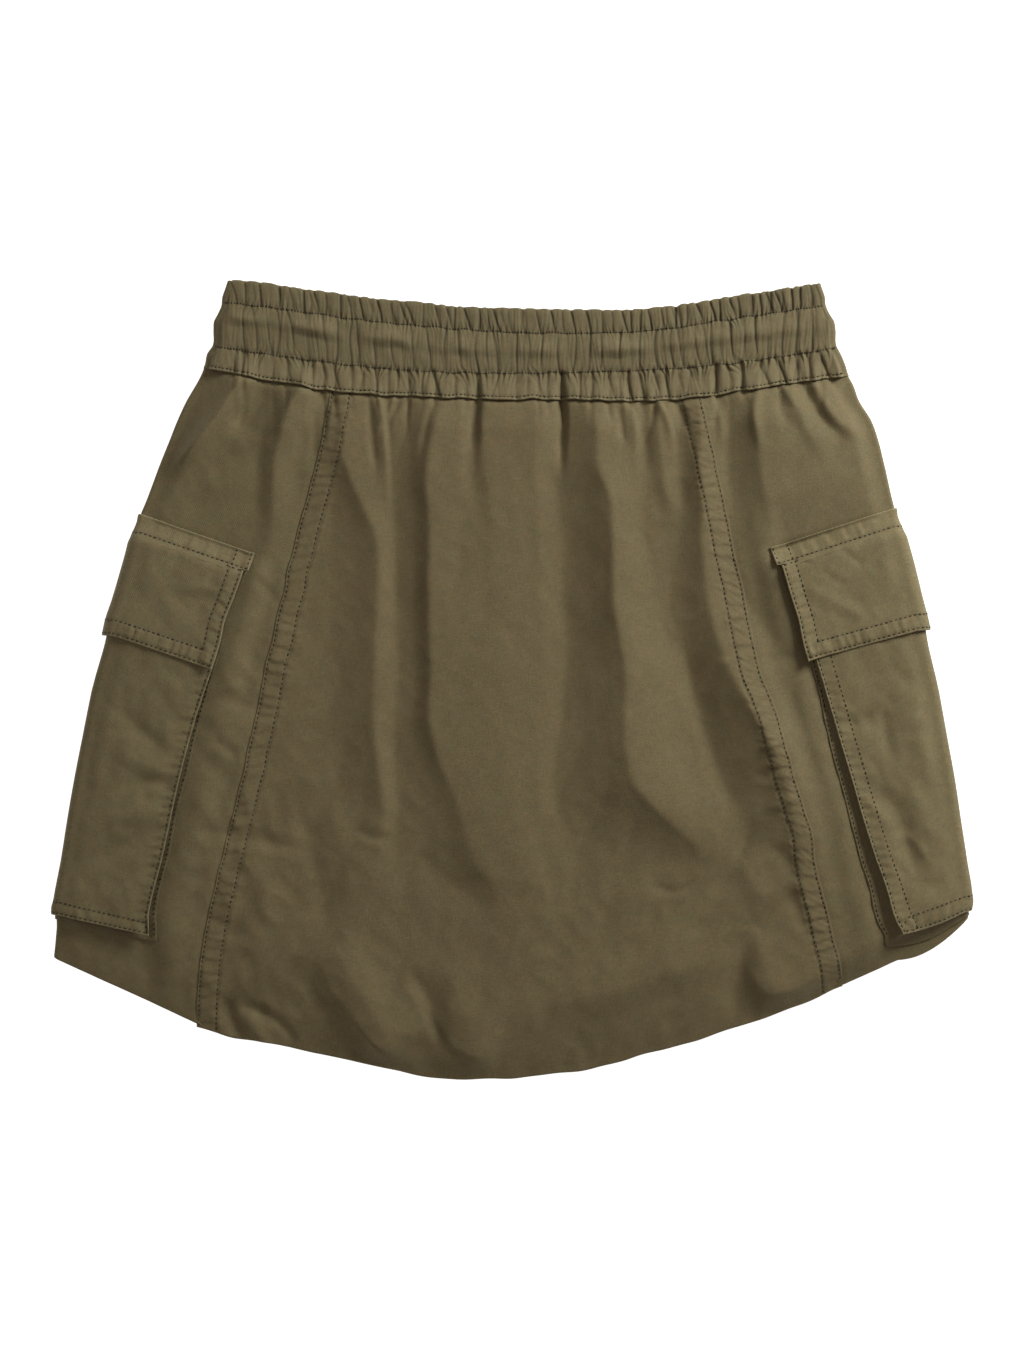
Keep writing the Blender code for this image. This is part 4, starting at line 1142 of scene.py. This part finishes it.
def build_waistband():
    """The gathered ring of the waistband, one closed wall round the skirt."""
    share = np.linspace(0.0, 1.0, 64)[2:-4]
    lowest = (0.953, 0.961, 0.968, 0.974, 0.98, 0.985, 0.989, 0.993, 0.996, 0.9985, 1.0)
    share = np.concatenate([(0.0, 0.002, 0.008, 0.016), share, lowest])
    columns, back = 1020, 150
    arc = np.linspace(math.pi / 2, -math.pi / 2, 14)[1:-1]
    turn = np.concatenate([np.full(columns, math.pi / 2), arc, np.full(back, -math.pi / 2), -arc])
    in_front, behind = turn > 1.5, turn < -1.5
    way = np.concatenate([np.zeros(columns), np.cos(arc), np.zeros(back), -np.cos(arc)])
    away = together(way, 0.0, np.sin(turn))
    outer, inner, flat, wear_and_painted_light = [], [], [], []
    for s in share:
        left, right = band_end("left", s), band_end("right", s)
        x_back = np.linspace(right, left, back)
        middle = np.concatenate([np.linspace(left, right, columns), 0 * arc + right, x_back, 0 * arc + left])
        x = middle + BAND_RADIUS * way
        span = np.clip(x, -170.0, 182.0)
        top = band_top_y(span)
        y = between(top, band_line("bottom", span), s)
        inset = np.minimum(x - left, right - x)
        height, deep = band_height(x, y)
        height = np.where(in_front, height * between(0.35, 1.0, ramp(0.0, 6.0, inset)), 0.0)
        hidden = np.where(behind, np.minimum(0.5 * band_height(-x + 12.0, y)[0], 0.3) - 0.3, 0.0)
        radial = BAND_RADIUS + np.where(in_front, height, hidden)
        calm = BAND_RADIUS + np.where(in_front, np.minimum(height, 0.4) - 0.35, 0.0)
        border = min(1.0 - s, s) * (top - band_line("bottom", span))
        wall = BAND_WALL / 2 - rim(border, 0.5)
        lift = 0.35 * math.exp(-(1 - s) * 12.5) * (turn > 0)
        lift = lift + carried(span, y) * ramp(0.0, 3.0, inset) * in_front
        base = together(middle, y, BAND_BACK_Z + BAND_RADIUS)
        outer.append(base + away * (radial + wall + lift)[:, None])
        inner.append(base + away * (np.minimum(calm, radial) - wall + lift)[:, None])
        bend = 5.4 * np.arange(1, 13) / 13
        girth = (x[:columns], right + bend, 2 * right + 5.4 - x_back, 2 * right - left + 5.4 + bend)
        flat.append(together(1.45 * np.concatenate(girth), y))
        # Lighter rims and highest gathers, partly worn and partly painted highlight; deep darkens the creases
        # as painted shade.
        worn_and_painted_light = 0.5 * bump(border, 0.4, 0.7) + 0.3 * np.clip(height - 0.5, 0.0, 1.0)
        wear_and_painted_light.append(np.where(in_front, worn_and_painted_light - deep, worn_and_painted_light))
    return shell("cloth_waistband", outer, inner, flat, wear_and_painted_light, ring=True, lowest=0.06)


def add(tree, kind, inputs=None, **settings):
    """A node's outputs, its settings and inputs given; an input is a value or another node's output."""
    node = tree.nodes.new(kind)
    for name, value in settings.items():
        setattr(node, name, value)
    for name, value in (inputs or {}).items():
        if isinstance(value, bpy.types.NodeSocket):
            tree.links.new(value, node.inputs[name])
        else:
            node.inputs[name].default_value = value
    return node.outputs


def new_group(name, inputs, outputs):
    """An empty shader node group with named sockets, its inputs, and what its outputs are linked from."""
    group = bpy.data.node_groups.new(name, "ShaderNodeTree")
    for label, value in inputs.items():
        kind = "NodeSocketVector" if value is None else "NodeSocketFloat"
        socket = group.interface.new_socket(label, in_out="INPUT", socket_type=kind)
        if value is not None:
            socket.default_value = value
    for label in outputs:
        group.interface.new_socket(label, in_out="OUTPUT", socket_type="NodeSocketFloat")
    return group, group.nodes.new("NodeGroupInput").outputs, group.nodes.new("NodeGroupOutput").inputs


def noise(tree, vector, scale, detail=2.0, roughness=0.5):
    """A noise texture's value."""
    inputs = {"Vector": vector, "Scale": scale, "Detail": detail, "Roughness": roughness}
    return add(tree, "ShaderNodeTexNoise", inputs)["Fac"]


def maths(tree, operation, *values):
    """One step of arithmetic."""
    return add(tree, "ShaderNodeMath", dict(enumerate(values)), operation=operation)[0]


def weighted(tree, *pairs):
    """The sum of values, each with its weight."""
    total = 0.0
    for value, weight in pairs:
        total = maths(tree, "MULTIPLY_ADD", value, weight, total)
    return total


def scaled(tree, vector, x, y):
    """A vector stretched along its axes."""
    return add(tree, "ShaderNodeVectorMath", {0: vector, 1: (x, y, 1.0)}, operation="MULTIPLY")[0]


def spread(tree, value, low, high, to_low=0.0, to_high=1.0):
    """A value mapped from the range low to high."""
    inputs = {"Value": value, "From Min": low, "From Max": high, "To Min": to_low, "To Max": to_high}
    return add(tree, "ShaderNodeMapRange", inputs)[0]


def mixed(tree, factor, first, second):
    """A colour between two."""
    return add(tree, "ShaderNodeMix", {"Factor": factor, 6: first, 7: second}, data_type="RGBA")[2]


def weave_group():
    """Cotton twill on the flat cloth: fine diagonal ribs and uneven threads both ways."""
    group, source, sink = new_group("twill weave", {"Cloth": None, "Strength": 1.0}, ("Shade", "Height"))
    cloth = source["Cloth"]
    warp = noise(group, scaled(group, cloth, 2300.0, 190.0), 1.0, 3.0, 0.6)
    weft = noise(group, scaled(group, cloth, 170.0, 2100.0), 1.0, 3.0, 0.6)
    fleck = noise(group, scaled(group, cloth, 900.0, 900.0), 1.0, 3.0, 0.65)
    wave = {"Vector": cloth, "Scale": 420.0, "Distortion": 1.6, "Detail": 2.0, "Detail Scale": 1.4,
            "Phase Offset": noise(group, scaled(group, cloth, 120.0, 120.0), 1.0)}
    rib = add(group, "ShaderNodeTexWave", wave, wave_type="BANDS", bands_direction="DIAGONAL")["Fac"]
    uneven = weighted(group, (warp, 1.0), (weft, 1.0), (fleck, 1.3), (rib, 0.18), (1.0, -1.74))
    group.links.new(maths(group, "MULTIPLY_ADD", uneven, source["Strength"], 1.0), sink["Shade"])
    group.links.new(weighted(group, (rib, 0.5), (warp, 1.0), (weft, 1.0)), sink["Height"])
    return group


def mottle_group():
    """Garment dye: soft uneven patches of lighter and browner cloth, and small specks of lint."""
    group, source, sink = new_group("garment dye", {"Place": None, "Amount": 1.0}, ("Shade", "Brown"))
    place = source["Place"]
    broad = noise(group, place, 16.0, 2.0)
    patch = noise(group, place, 130.0, 4.0, 0.65)
    fine = noise(group, place, 330.0, 3.0, 0.7)
    total = weighted(group, (broad, 0.10), (patch, 0.16), (fine, 0.3), (1.0, -0.28))
    group.links.new(maths(group, "MULTIPLY_ADD", total, source["Amount"], 1.0), sink["Shade"])
    group.links.new(spread(group, noise(group, place, 190.0, 5.0, 0.8), 0.38, 0.7), sink["Brown"])
    return group


def abraded_rim_and_highlight_group():
    """Lighter rims, partly worn and partly painted highlight: the piece's own mask broken up by the weave."""
    group, source, sink = new_group("worn edges", {"Wear and painted light": 0.0, "Place": None}, ("Mask",))
    broken = spread(group, noise(group, source["Place"], 700.0, 4.0, 0.7), 0.3, 0.62)
    group.links.new(maths(group, "MULTIPLY", source["Wear and painted light"], broken), sink["Mask"])
    return group


def new_material(name, settings):
    """A material, its node tree, and its surface's inputs with their settings."""
    material = bpy.data.materials.new(name)
    material.use_nodes = True
    surface = material.node_tree.nodes["Principled BSDF"].inputs
    for label, value in settings.items():
        surface[label].default_value = value
    return material, material.node_tree, surface


def bumpy(tree, surface, height, strength, distance):
    """Gives a surface its bump."""
    inputs = {"Height": height, "Strength": strength, "Distance": distance}
    tree.links.new(add(tree, "ShaderNodeBump", inputs)["Normal"], surface["Normal"])


def cotton(name, colour, groups):
    """Olive cotton twill of one piece's colour."""
    material, tree, surface = new_material(name, {
        "Specular IOR Level": 0.32, "Sheen Weight": 0.12, "Sheen Roughness": 0.45,
        "Sheen Tint": (0.75, 0.7, 0.55, 1.0),
    })
    cloth = add(tree, "ShaderNodeUVMap", uv_map="cloth")["UV"]
    place = add(tree, "ShaderNodeTexCoord")["Object"]
    # The piece's mask: above 0 lighter worn rims with some painted highlight, below 0 painted shade in
    # creases and stitched rows
    worn_and_painted_light = add(tree, "ShaderNodeAttribute", attribute_name="wear_and_painted_light")["Fac"]
    weave = add(tree, "ShaderNodeGroup", {"Cloth": cloth, "Strength": 0.48}, node_tree=groups["weave"])
    mottle = add(tree, "ShaderNodeGroup", {"Place": place}, node_tree=groups["mottle"])
    edges = add(tree, "ShaderNodeGroup", {"Wear and painted light": worn_and_painted_light, "Place": place}, node_tree=groups["wear_and_painted_light"])
    browner = (colour[0] * 1.1, colour[1] * 0.98, colour[2] * 0.9, 1.0)
    # The rims are mixed towards this paler colour: worn cloth with painted highlight
    paler = (colour[0] * 1.75, colour[1] * 1.75, colour[2] * 1.9, 1.0)
    dyed = mixed(tree, mottle["Brown"], (*colour, 1.0), browner)
    rubbed_and_highlit = mixed(tree, maths(tree, "MULTIPLY", edges["Mask"], 0.8), dyed, paler)
    # Painted shade: where the mask is below 0, in creases and stitched rows, the colour is darkened by half
    # of how far it is below 0.
    deep = maths(tree, "MULTIPLY_ADD", maths(tree, "MINIMUM", worn_and_painted_light, 0.0), 0.5, 1.0)
    shade = maths(tree, "MULTIPLY", maths(tree, "MULTIPLY", weave["Shade"], mottle["Shade"]), deep)
    shaded = add(tree, "ShaderNodeVectorMath", {0: rubbed_and_highlit, "Scale": shade}, operation="SCALE")[0]
    tree.links.new(shaded, surface["Base Color"])
    tree.links.new(spread(tree, weave["Height"], 0.6, 1.8, 0.92, 0.76), surface["Roughness"])
    bumpy(tree, surface, weave["Height"], 0.5, 0.00011)
    return material


def thread_material(name, low, high):
    """Olive sewing thread between two colours, with a fine twist."""
    material, tree, surface = new_material(name, {"Roughness": 0.7, "Specular IOR Level": 0.3})
    uneven = noise(tree, add(tree, "ShaderNodeTexCoord")["Object"], 1400.0)
    tree.links.new(mixed(tree, uneven, (*low, 1.0), (*high, 1.0)), surface["Base Color"])
    bumpy(tree, surface, uneven, 0.4, 0.0001)
    return material


def stitch_tree():
    """Geometry Nodes: one small stitch on each pitch along every row, lying on the cloth."""
    tree = bpy.data.node_groups.new("stitch rows", "GeometryNodeTree")
    kinds = {"Rows": "Geometry", "Pitch": "Float", "Length": "Float", "Width": "Float", "Uneven": "Float",
             "Seed": "Int", "Material": "Material"}
    for label, kind in kinds.items():
        tree.interface.new_socket(label, in_out="INPUT", socket_type=f"NodeSocket{kind}")
    tree.interface.new_socket("Stitches", in_out="OUTPUT", socket_type="NodeSocketGeometry")
    source = tree.nodes.new("NodeGroupInput").outputs
    sink = tree.nodes.new("NodeGroupOutput").inputs
    rows = add(tree, "GeometryNodeMeshToCurve", {"Mesh": source["Rows"]})[0]
    pitch = {"Curve": rows, "Length": source["Pitch"]}
    even = add(tree, "GeometryNodeResampleCurve", pitch, mode="LENGTH")[0]
    along = add(tree, "GeometryNodeInputTangent")[0]
    up = add(tree, "GeometryNodeInputNamedAttribute", {"Name": "up"}, data_type="FLOAT_VECTOR")["Attribute"]
    align = "FunctionNodeAlignRotationToVector"
    lengthwise = add(tree, align, {"Vector": along}, axis="X")[0]
    turned = add(tree, align, {"Rotation": lengthwise, "Vector": up}, axis="Z", pivot_axis="X")[0]
    shape = add(tree, "GeometryNodeMeshIcoSphere", {"Radius": 0.5, "Subdivisions": 1})[0]
    smooth = add(tree, "GeometryNodeSetShadeSmooth", {"Geometry": shape})[0]
    least = maths(tree, "SUBTRACT", 1.0, source["Uneven"])
    most = maths(tree, "ADD", 1.0, source["Uneven"])
    limits = {2: least, 3: most, "Seed": source["Seed"]}
    vary = add(tree, "FunctionNodeRandomValue", limits, data_type="FLOAT")[1]
    height = maths(tree, "MULTIPLY", source["Width"], 0.8)
    size = add(tree, "ShaderNodeCombineXYZ", {"X": source["Length"], "Y": source["Width"], "Z": height})[0]
    scale = add(tree, "ShaderNodeVectorMath", {0: size, "Scale": vary}, operation="SCALE")[0]
    each = {"Points": even, "Instance": smooth, "Rotation": turned, "Scale": scale}
    laid_out = add(tree, "GeometryNodeInstanceOnPoints", each)[0]
    real = add(tree, "GeometryNodeRealizeInstances", {"Geometry": laid_out})[0]
    sewn = add(tree, "GeometryNodeSetMaterial", {"Geometry": real, "Material": source["Material"]})[0]
    tree.links.new(sewn, sink["Stitches"])
    return tree


def sew(name, rows, tree, material, sizes):
    """Stitches along the rows, each a pair of arrays: its points in millimetres and the ways they face."""
    points, facing = (np.concatenate(parts) for parts in zip(*rows))
    starts = set(np.cumsum([len(row) for row, _ in rows]).tolist())
    edges = [(k - 1, k) for k in range(1, len(points)) if k not in starts]
    mesh = bpy.data.meshes.new(f"{name}_rows")
    mesh.from_pydata((points * MM).tolist(), edges, [])
    up = mesh.attributes.new("up", "FLOAT_VECTOR", "POINT")
    up.data.foreach_set("vector", facing.astype(np.float32).ravel())
    path = placed(f"{name}_rows", mesh)
    modifier = path.modifiers.new("stitches", "NODES")
    modifier.node_group = tree
    sockets = {item.name: item.identifier for item in tree.interface.items_tree if item.in_out == "INPUT"}
    for label, value in {**sizes, "Seed": 7, "Material": material}.items():
        modifier[sockets[label]] = value
    graph = bpy.context.evaluated_depsgraph_get()
    stitches = bpy.data.meshes.new_from_object(path.evaluated_get(graph), depsgraph=graph)
    bpy.data.objects.remove(path, do_unlink=True)
    stitches.name = name
    return placed(name, stitches)


def laid(piece, rows, lowest=0.46, apart=1.6, proud=0.08):
    """The rows moved on to the piece's own surface where it is less than apart from them.

    proud is how far they lie over the surface, and lowest how near they come to the floor.
    """
    mesh = piece.data
    tree = BVHTree.FromPolygons([v.co for v in mesh.vertices], [tuple(p.vertices) for p in mesh.polygons])
    result = []
    for points, facing in rows:
        moved = []
        for point, way in zip(points, facing):
            start = Vector((point + way * apart) * MM)
            hit = tree.ray_cast(start, -Vector(way), 2 * apart * MM)[0]
            moved.append(np.array(hit) / MM + way * proud if hit else point)
        moved = np.array(moved)
        moved[:, 2] = np.maximum(moved[:, 2], lowest)
        result.append((moved, facing))
    return result


def centre_rows(front):
    """The two rows of stitches along each felled seam of the front or back panel."""
    rows = []
    up = 1.0 if front else -1.0
    for side in ("left", "right"):
        for q in (1.3, STRIP - 0.8):
            y = np.arange(162.0, -200.0, -1.0)
            x = seam_x(side, y) + inward(side) * (q + SEAM_GAP)
            keep = (below_band(x, y) > 0.6) & (y > hem_y(x) + (2.0 if front else 3.5))
            x, y = x[keep], y[keep]
            apart = (q + 0 * y, STRIP * 10 + 0 * y)[::1 if side == "left" else -1]
            level = centre_level(front, x, y, *apart, y - hem_y(x) - HEM_TURN)
            z = (level if front else np.maximum(level, 0.5)) + up * (CLOTH / 2 + 0.03)
            rows.append((together(x, y, z), together(0.0 * x, 0.0, up)))
    return rows


def band_rows():
    """The waistband's stitches: two rows through its casings, and one along its lower edge."""
    rows = []
    for name, above in (("upper_row", 0.0), ("lower_row", 0.0), ("bottom", 1.8)):
        x = np.arange(-162.0, 178.0, 0.8)
        y = band_line(name, x) + above
        inside = (x > edge_x("left", y) + 2.2) & (x < edge_x("right", y) - 2.2)
        x, y = x[inside], y[inside]
        z = BAND_Z + BAND_WALL / 2 + band_height(x, y)[0] + carried(x, y) + 0.3
        rows.append((together(x, y, z), together(0.0 * x, 0.0, 1.0)))
        rows.append((together(x, y, 0.2), together(0.0 * x, 0.0, -1.0)))
    return rows[:4], rows[4:]


def wrapped_rows(side):
    """The rows on a side's gusset, pocket and flap, front and back."""
    bottom, flap_top, flap_bottom = POCKET_BOTTOM[side], FLAP_TOP[side], FLAP_BOTTOM[side]
    gusset, pocket, flap = [], [], []

    def on_pocket(across, down):
        point, facing = pocket_point(side, across, down)
        pocket.append((point + facing * 0.6, facing))

    def on_flap(across, down):
        point, facing = flap_point(side, across, down)
        flap.append((point + facing * 0.73, facing))

    down = np.arange(flap_bottom - 1.0, bottom + 1.6, -1.0)
    edge = np.arange(flap_top - 10.6, flap_bottom + 1.8, -1.0)
    inner = edge[edge > flap_bottom + 8.6]
    box = np.arange(flap_top - 1.2, flap_top - 10.4, -0.8)
    for half in (1.0, -1.0):
        reach = pocket_reach(side, down)
        sewn = gusset_out(side, down) * (1.0 if half > 0 else 0.8) - 1.3
        gusset.append(side_point(side, half * (reach + sewn), down, 1.2))
        for q in (1.4, 8.4) if side == "right" else (1.4,):
            on_pocket(half * (reach - q), down)
        for places, q in ((edge, 1.6), (inner, 8.2), (box, 1.5), (box, 10.0)):
            on_flap(half * (flap_reach(side, places) - q), places)
    end = pocket_reach(side, bottom)
    for r in (1.4, 7.0):
        on_pocket(np.arange(-end + 1.6, end - 1.5, 1.0), bottom + r)
    box_end = flap_top - 10.6
    crosswise = ((flap_top - 9.0, 1.4), (box_end, 1.4), (flap_bottom + 8.4, 8.2), (flap_bottom + 1.6, 1.8))
    for row, inset in crosswise:
        limit = flap_reach(side, row) - inset
        spans = ((-limit, 8.0 - limit), (limit - 8.0, limit)) if row == box_end else ((-limit, limit),)
        for start, stop in spans:
            on_flap(np.arange(start, stop, 1.0), row)
    return gusset, pocket, flap


# The right pocket and flap are lighter than their left twins as painted light, for the lamp's stronger light
# on the right side of the skirt
COLOURS = {
    "waistband": (0.130, 0.109, 0.0575),
    "front_panel": (0.132, 0.1075, 0.055),
    "back_panel": (0.124, 0.101, 0.052),
    "side_panel": (0.134, 0.111, 0.057),
    "pocket_left": (0.139, 0.116, 0.060),
    "pocket_right": (0.146, 0.122, 0.063),
    "pocket_gusset": (0.127, 0.104, 0.054),
    "pocket_flap_left": (0.149, 0.125, 0.066),
    "pocket_flap_right": (0.154, 0.129, 0.067),
}


# The two ends of each thread's colour, far darker than the cloth: the thread's own colour with painted shade
# of the needle holes along each row
THREADS = {
    "dark olive thread": ((0.006, 0.005, 0.003), (0.030, 0.024, 0.014)),
    "olive thread": ((0.020, 0.016, 0.009), (0.048, 0.039, 0.022)),
}
# The sizes of each run of stitches, in metres, and the share by which they vary
STITCHES = {
    "stitches_casings": {"Pitch": 0.00164, "Length": 0.00092, "Width": 0.0012, "Uneven": 0.2},
    "stitches_band_edge": {"Pitch": 0.0022, "Length": 0.0013, "Width": 0.00095, "Uneven": 0.25},
    "stitches_body": {"Pitch": 0.0027, "Length": 0.0017, "Width": 0.0008, "Uneven": 0.25},
}


def finish(piece, kind, side, cloth):
    """Gives a cloth piece its material, hangs it from the root and hides the part that it replaces; side is
    empty for a piece that has no twin.
    """
    node = f"{kind}_{side}" if side else kind
    piece.data.materials.append(cloth[node if node in cloth else kind])
    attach(piece, "root")
    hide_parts(node)


def dress():
    """Every piece of the skirt."""
    groups = {"weave": weave_group(), "mottle": mottle_group(), "wear_and_painted_light": abraded_rim_and_highlight_group()}
    cloth = {}
    for name, colour in COLOURS.items():
        cloth[name] = cotton(f"olive cotton {name.replace('_', ' ')}", colour, groups)
    back, front = build_centre(False), build_centre(True)
    finish(back, "back_panel", "", cloth)
    finish(front, "front_panel", "", cloth)
    rows = laid(front, centre_rows(True)) + laid(back, centre_rows(False))
    for side in ("left", "right"):
        over = (
            (build_gusset(side), "pocket_gusset", "gusset"),
            (build_pocket(side), "pocket", "pocket"),
            (build_flap(side), "pocket_flap", "flap"),
        )
        finish(build_side(side), "side_panel", side, cloth)
        for (piece, kind, slot), sewn in zip(over, wrapped_rows(side)):
            finish(piece, kind, side, cloth)
            rows += laid(piece, sewn)
    band = build_waistband()
    finish(band, "waistband", "", cloth)
    casings, lower = band_rows()
    tree = stitch_tree()
    threads = {name: thread_material(name, *colours) for name, colours in THREADS.items()}
    for name, sewn, thread, slot in (
        ("stitches_casings", laid(band, casings, 0.7), "dark olive thread", "waistband"),
        ("stitches_band_edge", laid(band, lower, 0.56), "dark olive thread", "waistband"),
        ("stitches_body", rows, "olive thread", "panel"),
    ):
        stitches = sew(name, sewn, tree, threads[thread], STITCHES[name])
        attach(stitches, "root")


# Lamps: place and size in metres, power, colour
LAMPS = {
    "key": ((1.06, 0.92, 0.7), 0.65, 29.0, (0.985, 1.0, 0.95)),
    "fill": ((-0.9, 0.3, 1.6), 1.4, 5.0, (1.0, 0.95, 0.9)),
}
ROOM_COLOUR, ROOM_STRENGTH = (1.04, 0.93, 0.86, 1.0), 0.2
CAMERA_PLACE = (-0.00027, -0.00135, 1.746)
FLOOR_HALF = 2.5


def area_light(name, place, size, power, colour):
    """A soft studio lamp, aimed at the middle of the skirt."""
    data = bpy.data.lights.new(name, "AREA")
    data.shape = "DISK"
    data.size = size
    data.energy = power
    data.color = colour
    lamp = placed(name, data)
    lamp.location = place
    lamp.rotation_euler = (-lamp.location).to_track_quat("-Z", "Y").to_euler()


def studio():
    """A white floor, a large soft lamp at the upper right, weak fill, and the camera straight above."""
    floor = placed("floor", bpy.data.meshes.new("floor"))
    corners = [(FLOOR_HALF * x, FLOOR_HALF * y, 0) for x, y in ((-1, -1), (1, -1), (1, 1), (-1, 1))]
    floor.data.from_pydata(corners, [], [(0, 1, 2, 3)])
    floor.data.materials.append(new_material("white table", {
        "Base Color": (0.6, 0.6, 0.6, 1.0), "Roughness": 0.9, "Specular IOR Level": 0.0,
        "Emission Color": (1.0, 1.0, 1.0, 1.0), "Emission Strength": 0.97,
    })[0])
    for name, settings in LAMPS.items():
        area_light(name, *settings)
    world = bpy.data.worlds.new("studio")
    bpy.context.scene.world = world
    world.use_nodes = True
    room = world.node_tree.nodes["Background"].inputs
    room["Color"].default_value = ROOM_COLOUR
    room["Strength"].default_value = ROOM_STRENGTH
    lens = bpy.data.cameras.new("camera")
    lens.lens = 85.0
    lens.sensor_width = 36.0
    lens.clip_end = 20.0
    camera = placed("camera", lens)
    camera.location = CAMERA_PLACE
    bpy.context.scene.camera = camera
    bpy.context.scene.view_settings.view_transform = "Standard"


studio()
dress()
